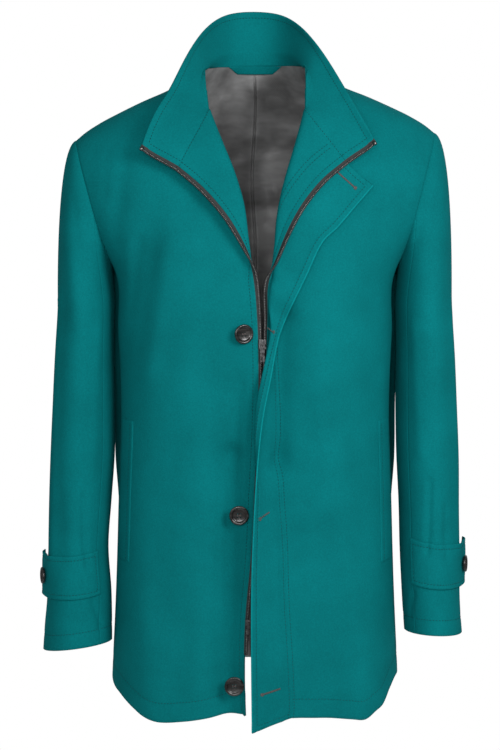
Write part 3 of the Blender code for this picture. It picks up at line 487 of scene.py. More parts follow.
def lapel_row(table, chest):
    """Points of one row past the roll line, out to the zip edge."""
    roll = chest[-1]
    edge, lift = off_front(table, roll[2])
    leave = unit(roll - chest[-1 - CHEST_TIMES]) * min(np.linalg.norm(edge - roll), LAPEL_LEAVES)
    leave = leave + np.array(LAPEL_RISES) * lift
    return bend(roll, leave, edge, (edge - roll) * LAPEL_ARRIVES, LAPEL)


def back_panel():
    """Grid of the back from the right side seam across to the left one."""
    hem_z = through(HEM, "back", CHEST)
    sides = []
    for side in (-1, 1):
        top_x = side * SHOULDER - side * NECK_X * PAST_NECK
        top_z = np.where(PAST_NECK > 0, ridge_z(side * NECK_X) * (1 - PAST_NECK), ridge_z(top_x))

        def below(z):
            return side * half_width(z) * spread(CHEST)

        grid = []
        for x, z, turned, _ in panel_rows(hem_z, top_x, top_z, below):
            y = body_y(x, z, 1) - turned
            stands = np.sin(math.pi * np.clip(y / SWELL_DEPTH, 0.0, 1.0)) ** 2
            x = x + side * through(SWELLS, "out", z) * stands
            grid.append(np.stack([x, y, z], axis=-1))
        sides.append(np.array(grid))
    return np.concatenate([sides[0], sides[1][:, -2::-1]], axis=1)


def grid_normals(grid, toward):
    """Unit normals of a grid, turned to one side of the cloth."""
    return unit(np.cross(np.gradient(grid, axis=0), np.gradient(grid, axis=1))) * toward


def over_shoulder(normals, grid, columns):
    """Normals along the shoulder seams, square to the ridge."""
    for column in columns:
        x = grid[-1, column, 0]
        slope = (ridge_z(x + RIDGE_STEP) - ridge_z(x - RIDGE_STEP)) / (2 * RIDGE_STEP)
        normals[-1, column] = unit(np.array([-slope, 0.0, 1.0]))
    return normals


def put(name, data):
    """Object in the scene, from its mesh, lamp or camera."""
    made = bpy.data.objects.new(name, data)
    bpy.context.scene.collection.objects.link(made)
    return made


def sewn_on(piece, replaced):
    """Piece that rides on the coat in the place of its nodes, if it has any."""
    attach(piece, "coat")
    if replaced:
        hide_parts(*replaced)


def mesh_piece(name, points, faces, slots, surfaces, replaced):
    """One piece from points and faces, with its surfaces."""
    mesh = bpy.data.meshes.new(name)
    sizes = np.array([len(face) for face in faces], dtype=np.int32)
    corners = np.fromiter((v for face in faces for v in face), dtype=np.int32, count=int(sizes.sum()))
    mesh.vertices.add(len(points))
    mesh.vertices.foreach_set("co", np.ascontiguousarray(points, dtype=np.float32).ravel())
    mesh.loops.add(len(corners))
    mesh.loops.foreach_set("vertex_index", corners)
    mesh.polygons.add(len(faces))
    starts = np.concatenate([[0], np.cumsum(sizes)[:-1]]).astype(np.int32)
    mesh.polygons.foreach_set("loop_start", starts)
    mesh.polygons.foreach_set("material_index", np.asarray(slots, dtype=np.int32))
    for surface in surfaces:
        mesh.materials.append(surface)
    mesh.update(calc_edges=True)
    mesh.validate()
    mesh.polygons.foreach_set("use_smooth", np.ones(len(mesh.polygons), dtype=bool))
    sewn_on(put(name, mesh), replaced)


def quads(rows, columns, first):
    """Faces of a grid of points."""
    i, j = np.meshgrid(np.arange(rows - 1), np.arange(columns - 1), indexing="ij")
    a = (first + i * columns + j).ravel()
    return np.stack([a, a + 1, a + columns + 1, a + columns], axis=1)


def rim_of(rows, columns):
    """Points of a grid's border, in order round it."""
    line = list(range(columns))
    line += [i * columns + columns - 1 for i in range(1, rows)]
    line += [(rows - 1) * columns + j for j in range(columns - 2, -1, -1)]
    line += [i * columns for i in range(rows - 2, 0, -1)]
    return np.array(line)


def shell(name, outer, inner, surfaces, replaced):
    """Cloth shell between two grids with a rounded rim; the inner side may take a second surface."""
    rows, columns = outer.shape[:2]
    count = rows * columns
    rim = rim_of(rows, columns)
    flat_outer = outer.reshape(-1, 3)
    flat_inner = inner.reshape(-1, 3)
    inside = np.clip(rim // columns, 1, rows - 2) * columns + np.clip(rim % columns, 1, columns - 2)
    edge = (flat_outer[rim] + flat_inner[rim]) / 2
    away = edge - (flat_outer[inside] + flat_inner[inside]) / 2
    wall = np.linalg.norm(flat_outer[rim] - flat_inner[rim], axis=1, keepdims=True)
    points = np.concatenate([flat_outer, flat_inner, edge + unit(away) * wall * LIP])
    top = quads(rows, columns, 0)
    under = quads(rows, columns, count)[:, ::-1]
    lips = 2 * count + np.arange(len(rim))
    next_lips = np.roll(lips, -1)
    next_rim = np.roll(rim, -1)
    side_a = np.stack([next_rim, rim, lips, next_lips], axis=1)
    side_b = np.stack([next_lips, lips, count + rim, count + next_rim], axis=1)
    faces = np.concatenate([top, under, side_a, side_b])
    middle = outer[rows // 2, columns // 2] - inner[rows // 2, columns // 2]
    a, b, c, _ = top[len(top) // 2 + (columns - 1) // 2]
    if np.dot(np.cross(points[b] - points[a], points[c] - points[a]), middle) < 0:
        faces = faces[:, ::-1]
    slots = np.zeros(len(faces), dtype=np.int32)
    if len(surfaces) > 1:
        slots[len(top):2 * len(top)] = 1
    mesh_piece(name, points, faces.tolist(), slots, surfaces, replaced)


def cloth(node, outer, inner, *surfaces):
    """Woollen shell in the place of a node."""
    shell(node + "_cloth", outer, inner, surfaces, (node,))


def at_height(column, z):
    """Point on a column of a panel at a height, on the straight between its rows."""
    column = column[np.argsort(column[:, 2])]
    return read(column, column[:, 2], z)


def strip(line, aim, ends, count, lift=0.0):
    """Points down a column between two heights, stood off by a lift, with their outward directions."""
    return [[at_height(line, z) + aim * lift for z in np.linspace(*ends, count)], [aim] * count]


def edge_run(grid, side):
    """Length along the cloth from one border of a grid, such as its last column or first row."""
    axis = 1 if side.endswith("column") else 0
    turned = np.flip(grid, axis) if side.startswith("last") else grid
    steps = np.linalg.norm(np.diff(turned, axis=axis), axis=-1)
    start = np.zeros_like(np.take(steps, [0], axis=axis))
    run = np.concatenate([start, np.cumsum(steps, axis=axis)], axis=axis)
    return np.flip(run, axis) if side.startswith("last") else run


def pressed(grid, out, sides, inset, depth=PRESS, width=PRESS_WIDTH):
    """Grid with a soft groove along its borders, where it is stitched."""
    groove = np.zeros(grid.shape[:2])
    for side in sides:
        groove = np.maximum(groove, np.exp(-((edge_run(grid, side) - inset) / width) ** 2))
    return grid - out * (groove * depth)[..., None]


LENS_FACES = np.array((
    (0, 4, 2), (2, 4, 1), (1, 4, 3), (3, 4, 0), (2, 5, 0), (1, 5, 2), (3, 5, 1), (0, 5, 3),
))
BLOCK_FACES = np.array((
    (0, 1, 3, 2), (4, 6, 7, 5), (0, 4, 5, 1), (2, 3, 7, 6), (0, 2, 6, 4), (1, 5, 7, 3),
))


def lenses(here, along, up, half):
    """Points of small thread lenses, by their half length, half width and half height."""
    side = np.cross(along, up)
    runs = (-along * half[0], along * half[0], -side * half[1], side * half[1], up * half[2], -up * half[2])
    return np.stack([here + run for run in runs], axis=1)


def blocks(here, along, across, up, half):
    """Points of small blocks, by their three half sizes."""
    corners = [here + along * a + across * b + up * c for a, b, c in product(*((-h, h) for h in half))]
    return np.stack(corners, axis=1)


def many(name, groups, pattern, surface):
    """One piece from many small like forms."""
    forms = np.concatenate(groups)
    size = forms.shape[1]
    faces = (pattern[None] + size * np.arange(len(forms))[:, None, None]).reshape(-1, pattern.shape[1])
    mesh_piece(name, forms.reshape(-1, 3), faces.tolist(), np.zeros(len(faces)), (surface,), ())


def stitches(line, aims, start=0.0, stop=0.0):
    """Stitches along a line on the cloth, from a length after its start to one before its end."""
    run = run_of(line)
    at = np.arange(start + STITCH_PITCH / 2, run[-1] - stop, STITCH_PITCH)
    step = STITCH_PITCH / 4
    ahead = unit(read(line, run, at + step) - read(line, run, at - step))
    up = unit(read(aims, run, at))
    return lenses(read(line, run, at) + up * STITCH_HALF[2] * STITCH_RAISED, ahead, up, STITCH_HALF)


seams = []


def sew(grid, out, side, inset, start=0.0, stop=0.0):
    """Stitches along one border of a grid, on the side that its directions point to."""
    run = edge_run(grid, side)
    if side.endswith("row"):
        run = run.T
        grid = np.swapaxes(grid, 0, 1)
        out = np.swapaxes(out, 0, 1)
    line = []
    aims = []
    for along, points, aim in zip(run, grid, out):
        order = np.argsort(along)
        line.append(read(points[order], along[order], inset))
        aims.append(read(aim[order], along[order], inset))
    seams.append(stitches(np.array(line), unit(aims), start, stop))


def set_values(node, values):
    """Values on a node's own sockets."""
    for name, value in values.items():
        node.inputs[name].default_value = value


def add_node(tree, kind, values, links):
    """Node with values on some sockets and links into others."""
    node = tree.nodes.new("ShaderNode" + kind)
    set_values(node, values)
    for name, source in links.items():
        tree.links.new(source, node.inputs[name])
    return node


def new_surface(name, roughness, metallic=0.0):
    """Surface with its node tree, shader and object coordinates."""
    made = bpy.data.materials.new(name)
    made.use_nodes = True
    tree = made.node_tree
    shader = tree.nodes["Principled BSDF"]
    set_values(shader, {"Roughness": roughness, "Metallic": metallic})
    return made, tree, shader, tree.nodes.new("ShaderNodeTexCoord").outputs["Object"]


def noise(tree, place, scale, detail=3.0, stretch=None):
    """Noise at a scale in cycles per metre, drawn out along an axis where asked."""
    if stretch:
        place = add_node(tree, "Mapping", {"Scale": stretch}, {"Vector": place}).outputs["Vector"]
    return add_node(tree, "TexNoise", {"Scale": scale, "Detail": detail}, {"Vector": place}).outputs["Fac"]


def rib(tree, place, scale, direction):
    """Even ribs of a weave."""
    values = {"Scale": scale, "Distortion": 1.2, "Detail": 1.0, "Detail Scale": 2.0}
    node = add_node(tree, "TexWave", values, {"Vector": place})
    node.bands_direction = direction
    return node.outputs["Fac"]


def weigh(tree, first, second, share):
    """Two textures mixed into one value."""
    return add_node(tree, "Mix", {"Factor": share}, {"A": first, "B": second}).outputs["Result"]


def tones(tree, value, shader, stops):
    """A texture's value turned into the base colour."""
    ramp = add_node(tree, "ValToRGB", {}, {"Fac": value})
    ends = ramp.color_ramp.elements
    for end, (position, colour) in zip((ends[0], ends[1]), (stops[0], stops[-1])):
        end.position = position
        end.color = (*colour, 1.0)
    for position, colour in stops[1:-1]:
        ends.new(position).color = (*colour, 1.0)
    tree.links.new(ramp.outputs["Color"], shader.inputs["Base Color"])


def gloss(tree, value, shader, low, high):
    """A texture's value spread over a range of roughness."""
    values = {"From Min": 0.3, "From Max": 0.7, "To Min": low, "To Max": high}
    node = add_node(tree, "MapRange", values, {"Value": value})
    tree.links.new(node.outputs["Result"], shader.inputs["Roughness"])


def raise_by(tree, shader, value, depth, strength):
    """A texture's value raised as relief."""
    bump = add_node(tree, "Bump", {"Strength": strength, "Distance": depth}, {"Height": value})
    tree.links.new(bump.outputs["Normal"], shader.inputs["Normal"])


def shade(colour, times):
    """Colour made darker or lighter."""
    return tuple(part * times for part in colour)


TEAL = (0.0016, 0.176, 0.188)
GREY = (0.200, 0.200, 0.201)


def wool_surface(name, colour):
    """Brushed woollen: fine fibres over a twill, with a slight nap and mottled dye."""
    made, tree, shader, place = new_surface(name, 0.92)
    fibre = noise(tree, place, 520.0, 5.0)
    dye = weigh(tree, fibre, noise(tree, place, 16.0, 4.0), 0.45)
    tones(tree, dye, shader, ((0.34, shade(colour, 0.84)), (0.50, colour), (0.66, shade(colour, 1.17))))
    raise_by(tree, shader, weigh(tree, fibre, rib(tree, place, 420.0, "DIAGONAL"), 0.35), 0.00030, 0.55)
    set_values(shader, {"Specular IOR Level": 0.05, "Sheen Weight": 0.06, "Sheen Roughness": 0.45,
                        "Sheen Tint": (0.03, 0.85, 0.90, 1.0)})
    return made


def satin_surface():
    """Lining satin: smooth and grey, with patchy roughness, patches of painted highlight and painted shade in
    its colour, and faint ripples.
    """
    made, tree, shader, place = new_surface("satin_grey", 0.36)
    painted_highlight_patch = noise(tree, place, 22.0, 3.0, (0.6, 1.0, 1.3))
    # Lighter and darker patches in the base colour: painted highlights and painted shade of the satin's
    # lustre
    tones(tree, painted_highlight_patch, shader, ((0.34, shade(GREY, 0.55)), (0.50, GREY), (0.68, shade(GREY, 1.75))))
    gloss(tree, painted_highlight_patch, shader, 0.46, 0.30)
    ripple = noise(tree, place, 30.0, 3.0, (0.6, 1.0, 1.2))
    raise_by(tree, shader, weigh(tree, ripple, rib(tree, place, 330.0, "DIAGONAL"), 0.04), 0.0040, 0.6)
    set_values(shader, {"Sheen Weight": 0.06})
    return made


def tape_surface():
    """Woven zip tape with a fine herringbone."""
    made, tree, shader, place = new_surface("zip_tape_dark", 0.75)
    weave = rib(tree, place, 380.0, "Z")
    tones(tree, weigh(tree, weave, noise(tree, place, 300.0), 0.5), shader,
          ((0.25, (0.012, 0.012, 0.013)), (0.75, (0.050, 0.048, 0.049))))
    raise_by(tree, shader, weave, 0.0002, 0.6)
    return made


def metal_surface(name, light, dark):
    """Plated zinc: polished edges over a slightly clouded plate."""
    made, tree, shader, place = new_surface(name, 0.32, 1.0)
    cloud = noise(tree, place, 260.0, 4.0)
    tones(tree, cloud, shader, ((0.30, dark), (0.70, light)))
    gloss(tree, cloud, shader, 0.24, 0.42)
    raise_by(tree, shader, noise(tree, place, 900.0), 0.00005, 0.4)
    return made


def horn_surface():
    """Polished dark horn with drawn-out paler streaks."""
    made, tree, shader, place = new_surface("button_horn_dark", 0.28)
    streak = noise(tree, place, 60.0, 4.0, (1.0, 1.0, 5.0))
    tones(tree, streak, shader,
          ((0.38, (0.008, 0.007, 0.007)), (0.55, (0.018, 0.017, 0.016)), (0.70, (0.045, 0.042, 0.040))))
    gloss(tree, streak, shader, 0.22, 0.38)
    raise_by(tree, shader, streak, 0.0002, 0.3)
    set_values(shader, {"Coat Weight": 0.35, "Coat Roughness": 0.15})
    return made


def thread_surface(name, colour):
    """Twisted sewing thread."""
    made, tree, shader, place = new_surface(name, 0.7)
    twist = noise(tree, place, 1500.0, 2.0)
    tones(tree, twist, shader, ((0.35, shade(colour, 0.7)), (0.65, shade(colour, 1.25))))
    raise_by(tree, shader, twist, 0.0001, 0.5)
    set_values(shader, {"Specular IOR Level": 0.25})
    return made


wool = wool_surface("wool_teal", TEAL)
# Lighter copy of the teal wool for the flap's free edge: a painted highlight along its rim
painted_highlight_wool = wool_surface("wool_teal_painted_highlight", shade(TEAL, 1.45))
satin = satin_surface()
tape = tape_surface()
gunmetal = metal_surface("gunmetal", (0.17, 0.17, 0.175), (0.05, 0.05, 0.052))
silver = metal_surface("teeth_nickel", (0.28, 0.276, 0.27), (0.11, 0.108, 0.105))
horn = horn_surface()
# Stitching thread at under a third of the cloth's teal: partly its own darker tone, partly painted shade of
# the grooves it lies in
thread = thread_surface("thread_teal_painted_shade", shade(TEAL, 0.30))
grey_thread = thread_surface("thread_grey", (0.150, 0.128, 0.125))

# Fronts and back
fronts = []
for name, side, table in (("right", -1, RIGHT_FRONT), ("left", 1, LEFT_FRONT)):
    grid = front_panel(side, table)
    out = over_shoulder(grid_normals(grid, side), grid, range(NECK_COLUMN + 1))
    out[:LOWER_ROWS + 1, 0] = (side, 0.0, 0.0)
    grid = pressed(grid, out, ("first row",), HEM_STITCH, width=HEM_PRESS_WIDTH)
    cloth("front_" + name, grid, grid - out * CLOTH, wool, satin)
    sew(grid[:, :ROLL_COLUMN + 1], out, "first row", HEM_STITCH, STITCH_STARTS, STITCH_STARTS)
    sew(grid, out, "last column", EDGE_STITCH)
    fronts.append((name, grid, out))
right = fronts[0][1]
left, left_out = fronts[1][1:]

back = back_panel()
last = back.shape[1] - 1
shoulder_columns = list(range(NECK_COLUMN + 1)) + list(range(last - NECK_COLUMN, last + 1))
back_out = over_shoulder(grid_normals(back, 1), back, shoulder_columns)
back_out[:LOWER_ROWS + 1, 0] = (-1.0, 0.0, 0.0)
back_out[:LOWER_ROWS + 1, last] = (1.0, 0.0, 0.0)
back = pressed(back, back_out, ("first row",), HEM_STITCH, width=HEM_PRESS_WIDTH)
cloth("back", back, back - back_out * CLOTH, wool, satin)
sew(back, back_out, "first row", HEM_STITCH, STITCH_STARTS, STITCH_STARTS)

# Facings, with a second pair of stitch lines on the left one
facing_from = ROLL_COLUMN - 2 * CHEST_TIMES
for name, grid, out in fronts:
    aim = out[:, facing_from:]
    near = grid[:, facing_from:] - aim * (CLOTH + SEAM)
    face = pressed(near - aim * FACING, -aim, ("last column",), EDGE_STITCH)
    cloth("facing_" + name, near, face, wool)
    sew(face, -aim, "last column", EDGE_STITCH)
    sew(face, -aim, "last row", COLLAR_SEAM)
    if name == "left":
        for inset in FACING_LINES:
            sew(face[LOWER_ROWS:], -aim[LOWER_ROWS:], "last column", inset, 0.0, FACING_STOPS)


def on_left(row, out, inset):
    """Place and outward direction on a row of the left front, a set way in from its zip edge."""
    inward = run_of(row[::-1])
    return read(row[::-1], inward, inset), unit(read(out[::-1], inward, inset))


def flap_grid():
    """Fly flap from its seam on the left front to its free edge, turned out at the lapel."""
    shares = finer(FLAP_SHARES, FLAP_TIMES)
    rise = np.clip(shares / FLAP_SEATED, 0.0, 1.0)[:, None]
    bow = np.sin(math.pi * shares)[:, None]
    grid = []
    for row, out in zip(left, left_out):
        height = row[ROLL_COLUMN, 2]
        seam = through(FLAP, "seam", height)
        root, normal = on_left(row, out, seam)
        ahead = on_left(row, out, seam - FLAP_AHEAD)[0]
        edge = off_front(FLAP, height)[0]
        turned = through(LEFT_FRONT, "lift", height) / FLAP_TURN
        toward = unit(unit(ahead - root) + unit(edge - root) * (1 - turned))
        leave = toward * (FLAP_LEAVES - FLAP_LEAVES_LESS * turned) + normal * FLAP_RISE * (1 - turned)
        arrive = (edge - row[-1]) * FLAP_ARRIVES_TURNED * turned
        arrive = arrive + (edge - root) * FLAP_ARRIVES * (1 - turned)
        arrive[0] += through(FLAP, "turn", height)
        line = bend(root + normal * FLAP_ROOT, leave, edge, arrive, shares)
        line = line + normal * (CLOTH + SEAM * 2 - FLAP_ROOT) * rise * rise * (1 - shares[:, None])
        grid.append(line + normal * bow * FLAP_BOW * turned)
    return np.array(grid)


flap = flap_grid()
flap_out = grid_normals(flap, 1)
flap = pressed(flap, flap_out, ("last column",), EDGE_STITCH, FLAP_PRESS)
flap = pressed(flap, flap_out, ("last row", "first row"), EDGE_STITCH, width=CUFF_PRESS_WIDTH)
flap_under = flap - flap_out * CLOTH
cloth("fly_flap", flap, flap_under, wool)
for face, aim in ((flap, flap_out), (flap_under, -flap_out)):
    sew(face, aim, "last column", EDGE_STITCH, EDGE_STITCH, EDGE_STITCH)
    sew(face[:, FLAP_TIMES * 2:], aim[:, FLAP_TIMES * 2:], "last row", EDGE_STITCH, 0.0, EDGE_STITCH)
    sew(face, aim, "first row", EDGE_STITCH, SEAM_STITCH, EDGE_STITCH)
sew(flap[:LOWER_ROWS - FLAP_SEAM_ROWS], flap_out, "first column", SEAM_STITCH)


def bead(name, line, across, surface):
    """Rounded edge along a line, closed at its ends."""
    run = unit(np.gradient(line, axis=0))
    across = unit(across - run * np.sum(across * run, axis=1, keepdims=True))
    up = np.cross(run, across)
    turns = np.linspace(0.0, 2 * math.pi, EDGE_SIDES, endpoint=False)
    rings = [line + (across * math.cos(t) + up * math.sin(t)) * EDGE_RADIUS for t in turns]
    points = np.stack(rings, axis=1).reshape(-1, 3)
    faces = []
    for row in range(0, len(points) - EDGE_SIDES, EDGE_SIDES):
        for i in range(EDGE_SIDES):
            j = (i + 1) % EDGE_SIDES
            faces.append((row + i, row + j, row + EDGE_SIDES + j, row + EDGE_SIDES + i))
    faces += [tuple(range(EDGE_SIDES - 1, -1, -1)), tuple(range(len(points) - EDGE_SIDES, len(points)))]
    mesh_piece(name, points, faces, np.zeros(len(faces)), (surface,), ())


# The flap's rounded free edge, in the lighter wool, which paints the highlight along it
bead("flap_free_edge", (flap[:, -1] + flap_under[:, -1]) / 2, flap[:, -1] - flap[:, -2], painted_highlight_wool)
beyond = [
    on_left(row, out, through(FLAP, "seam", row[ROLL_COLUMN, 2]) + SEAM_STITCH)
    for row, out in zip(left[:LOWER_ROWS - FLAP_SEAM_ROWS], left_out)
]
seams.append(stitches(*(np.array(column) for column in zip(*beyond))))


def collar_half(panel, table, neck):
    """Collar columns from the front edge to the middle of the back, seam to top edge."""
    edge = np.concatenate([panel[-2:, NECK_COLUMN:][:, ::-1], neck], axis=1)
    seam = edge[1] + unit(edge[1] - edge[0]) * SEAM
    run = run_of(seam)
    top = np.stack([through(table, axis, run / run[-1]) for axis in "xyz"], axis=-1)
    return np.array([seam + (top - seam) * b for b in np.linspace(0.0, 1.0, COLLAR_ROWS + 1)])


middle = last // 2
right_half = collar_half(right, RIGHT_COLLAR, back[-2:, NECK_COLUMN + 1:middle + 1])
left_half = collar_half(left, LEFT_COLLAR, back[-2:, last - NECK_COLUMN - 1:middle - 1:-1])
collar = np.concatenate([right_half, left_half[:, -2::-1]], axis=1)
height_share = np.linspace(0.0, 1.0, COLLAR_ROWS + 1)[:, None, None]
ease = np.clip(height_share * COLLAR_EASE, 0.0, 1.0)
for _ in range(COLLAR_PASSES):
    level = (collar[:, :-2] + collar[:, 2:]) / 2
    collar[:, 1:-1] += (level - collar[:, 1:-1]) * ease * COLLAR_PULL
collar = collar + grid_normals(collar, 1) * COLLAR_BULGE * np.sin(math.pi * height_share ** 2)
collar_out = grid_normals(collar, 1)
collar = pressed(collar, collar_out, ("last row",), EDGE_STITCH, width=COLLAR_PRESS_WIDTH)
collar_in = collar - collar_out * COLLAR_WALL
collar_in = pressed(collar_in, -collar_out, ("last row",), EDGE_STITCH, width=COLLAR_PRESS_WIDTH)
cloth("collar", collar, collar_in, wool)
for face, aim in ((collar, collar_out), (collar_in, -collar_out)):
    sew(face, aim, "last row", EDGE_STITCH, EDGE_STITCH, EDGE_STITCH)
    sew(face, aim, "first column", EDGE_STITCH, 0.0, EDGE_STITCH)
    sew(face, aim, "last column", EDGE_STITCH, 0.0, EDGE_STITCH)


def sleeve_grid(side, table, front, front_out, rear, rear_out, creases):
    """Sleeve rings from the armhole to the cuff, as closed columns from the armpit round the front."""
    hole = np.concatenate([front[LOWER_ROWS:, 0], rear[-2:LOWER_ROWS - 1:-1]])
    hole_out = np.concatenate([front_out[LOWER_ROWS:, 0], rear_out[-2:LOWER_ROWS - 1:-1]])
    turn = np.linspace(math.pi, -math.pi, len(hole))
    top = (1 + np.cos(turn)) / 2

    def ring(z):
        outer, inner, depth, middle, tilt_out, tilt_front = (
            through(table, column, z)
            for column in ("outer", "inner", "half_depth", "middle_y", "tilt_out", "tilt_front")
        )
        out = (outer - inner) / 2 * np.cos(turn)
        fore = depth * np.sin(turn)
        x = side * ((outer + inner) / 2 + out)
        return np.stack([x, middle - fore, z + tilt_out * out + tilt_front * fore], axis=-1)

    first = ring(table[-1].z)
    start = hole + side * SEAM * np.array([1.0, 0.0, 0.0])
    leave_x = side * (UNDERARM_LEAVES + CAP_SWELL * top)
    leave = np.stack([leave_x, -CAP_FORE * np.sin(turn), CAP_DROP_LESS * top - CAP_DROP], axis=-1)
    arrive = np.zeros_like(start)
    arrive[:, 2] = first[:, 2] - start[:, 2]
    shares = finer(CAP_SHARES, CAP_TIMES)[:-1]
    rows = [bend(start, leave, first, arrive, np.full(len(hole), share)) for share in shares]
    rows += [ring(z) for z in np.linspace(table[-1].z, table[0].z, SLEEVE_ROWS)]
    grid = np.array(rows)
    lines = [(c.turn_top * ARM_RADIUS, c.z_top, c.turn_end * ARM_RADIUS, *c[3:]) for c in creases]
    seat = np.minimum(np.arange(len(grid)) / len(shares), 1.0)[:, None]
    trough = relief(lines, turn[None, :] * ARM_RADIUS, grid[:, :, 2]) * seat
    out = round_normals(grid, hole_out)
    grid = grid - out * trough[..., None]
    return grid, round_normals(grid, hole_out)


def round_normals(grid, hole_out):
    """Outward normals of closed rings, with those of the armhole given."""
    padded = np.concatenate([grid[:, -2:-1], grid, grid[:, 1:2]], axis=1)
    out = grid_normals(padded, 1)[:, 1:-1]
    if np.sum((out * (grid - grid.mean(axis=1, keepdims=True)))[PAST_CAP:]) < 0:
        out = -out
    out[0] = hole_out
    return out


def cuff_tab(node, grid, out, size):
    """Cuff tab from the front seam round the outside, standing off at its end."""
    strips = []
    for column in range(TAB_SPAN * ARM_TIMES + 1):
        number = column / ARM_TIMES
        share = number / TAB_SPAN
        high = size.inner_top + (size.outer_top - size.inner_top) * share
        foot = size.inner_foot + (size.outer_foot - size.inner_foot) * share
        lift = TAB_LIFT * max(0.0, (number - TAB_FREE) / (TAB_SPAN - TAB_FREE)) ** 2
        line = grid[:, FRONT_SEAM + column]
        aim = unit(read(out[:, FRONT_SEAM + column], -line[:, 2], -high))
        strips.append(strip(line, aim, (high, foot), TAB_ROWS, SEAM * 2 + lift))
    near, normal = np.array(strips).swapaxes(0, 1)
    borders = ("first row", "last row", "first column", "last column")
    face = pressed(near + normal * TAB_WALL, normal, borders, TAB_STITCH)
    cloth(node, face, near, wool)
    for border in borders:
        sew(face, normal, border, TAB_STITCH, TAB_STITCH, TAB_STITCH)


upper = slice(FRONT_SEAM, 2 * ARM_ROWS - FRONT_SEAM + 1)
lower = list(range(2 * ARM_ROWS - FRONT_SEAM, 2 * ARM_ROWS)) + list(range(FRONT_SEAM + 1))
sleeves = zip(fronts, (-1, 1), (RIGHT_SLEEVE, LEFT_SLEEVE), (0, last), TABS)
for (name, front, front_out), side, table, column, tab in sleeves:
    rear = (back[:, column], back_out[:, column])
    grid, out = sleeve_grid(side, table, front, front_out, *rear, SLEEVE_CREASES[name])
    grid = pressed(grid, out, ("last row",), CUFF_STITCH, width=CUFF_PRESS_WIDTH)
    cloth("sleeve_upper_" + name, grid[:, upper], (grid - out * CLOTH)[:, upper], wool, satin)
    under = grid[:, lower]
    under[:, FRONT_SEAM] = (grid[:, 0] + grid[:, -1]) / 2
    cloth("sleeve_under_" + name, under, under - out[:, lower] * CLOTH, wool, satin)
    sew(grid[:, upper], out[:, upper], "last row", CUFF_STITCH, CUFF_STARTS, CUFF_STARTS)
    sew(under, out[:, lower], "last row", CUFF_STITCH, CUFF_STARTS, CUFF_STARTS)
    cuff_tab("cuff_tab_" + name, grid, out, tab)

# Pocket welts, barely proud of the fronts
first, end = (CHEST_SHARES.index(share) * CHEST_TIMES for share in WELT_SHARES)
for name, grid, out in fronts:
    aims = unit(out[LOWER_ROWS // 2])
    strips = [strip(grid[:, column], aims[column], WELT_Z, WELT_ROWS) for column in range(first, end + 1)]
    near, normal = np.array(strips).swapaxes(0, 1)
    face = pressed(near + normal * WELT_PROUD, normal, ("last row",), WELT_STITCH, WELT_PRESS)
    cloth("pocket_welt_" + name, face, near - normal * (CLOTH - WELT_PROUD), wool)
    sew(face, normal, "last row", WELT_STITCH, STITCH_STARTS, STITCH_STARTS)

# Back lining with its wavering pleat, closer columns along the middle and a row close under its upper edge
even = np.linspace(-1.0, 1.0, LINING_COLUMNS)
crowded = np.sign(even) * np.abs(even) ** LINING_CROWD
lined = slice(2 * CHEST_TIMES, last - 2 * CHEST_TIMES + 1)
lining_rows = []
lining_aims = []
for row, aim in zip(back[LINING_FOOT:, lined], back_out[LINING_FOOT:, lined]):
    steps = np.interp(crowded, (-1.0, 1.0), (row[0, 0], row[-1, 0]))
    lining_rows.append(read(row, row[:, 0], steps))
    lining_aims.append(read(aim, row[:, 0], steps))
lining_rows.insert(-1, lining_rows[-1] * (1 - LINING_EDGE) + lining_rows[-2] * LINING_EDGE)
lining_aims.insert(-1, lining_aims[-1])
lining_out = unit(lining_aims)
near = np.array(lining_rows) - lining_out * (CLOTH + SEAM * 2)
x, _, z = np.moveaxis(near, -1, 0)
across = x + PLEAT_OFF + PLEAT_WAVER * np.sin(z * PLEAT_WAVES)
crease = 1 - PLEAT_CREASE * np.exp(-(across / PLEAT_FOLD) ** 2)
pleat = np.exp(-(across / PLEAT_HALF) ** 2) * crease * PLEAT
down = np.clip((LOOP_FOOT - z) / PLEAT_STARTS, 0.0, 1.0)
swell = np.maximum(pleat - np.minimum(relief(LINING_CREASES, x, z), 0.0), 0.0) * down
tucked = np.clip((z[-1] - z) / LINING_TUCK, LINING_THIN, 1.0)
lining_face = near - lining_out * (LINING * tucked + swell)[..., None]
near = near - lining_out * (swell * LINING_FOLLOWS)[..., None]
shell("back_lining_satin", near, lining_face, (satin,), ("back_lining",))

loop = np.zeros((LOOP_COLUMNS, LOOP_ROWS, 3))
behind = np.swapaxes(lining_face, 0, 1)[LOOP_CLEAR:-LOOP_CLEAR]
for j, level_share in enumerate(np.linspace(0.0, 1.0, LOOP_ROWS)):
    level = LOOP_TOP + (LOOP_FOOT - LOOP_TOP) * level_share
    line = np.array([at_height(column, level) for column in behind])
    share = np.linspace(-1.0, 1.0, LOOP_COLUMNS)
    x = LOOP_HALF * (1 + (LOOP_NARROW - 1) * level_share) * share
    y = np.interp(x, line[:, 0], line[:, 1]) - SEAM * 2 - LOOP_BOW * (1 - share * share)
    loop[:, j] = np.stack([x, y, np.full(LOOP_COLUMNS, level)], axis=-1)
cloth("hanger_loop", loop, loop - np.array([0.0, LOOP_WALL, 0.0]), wool)

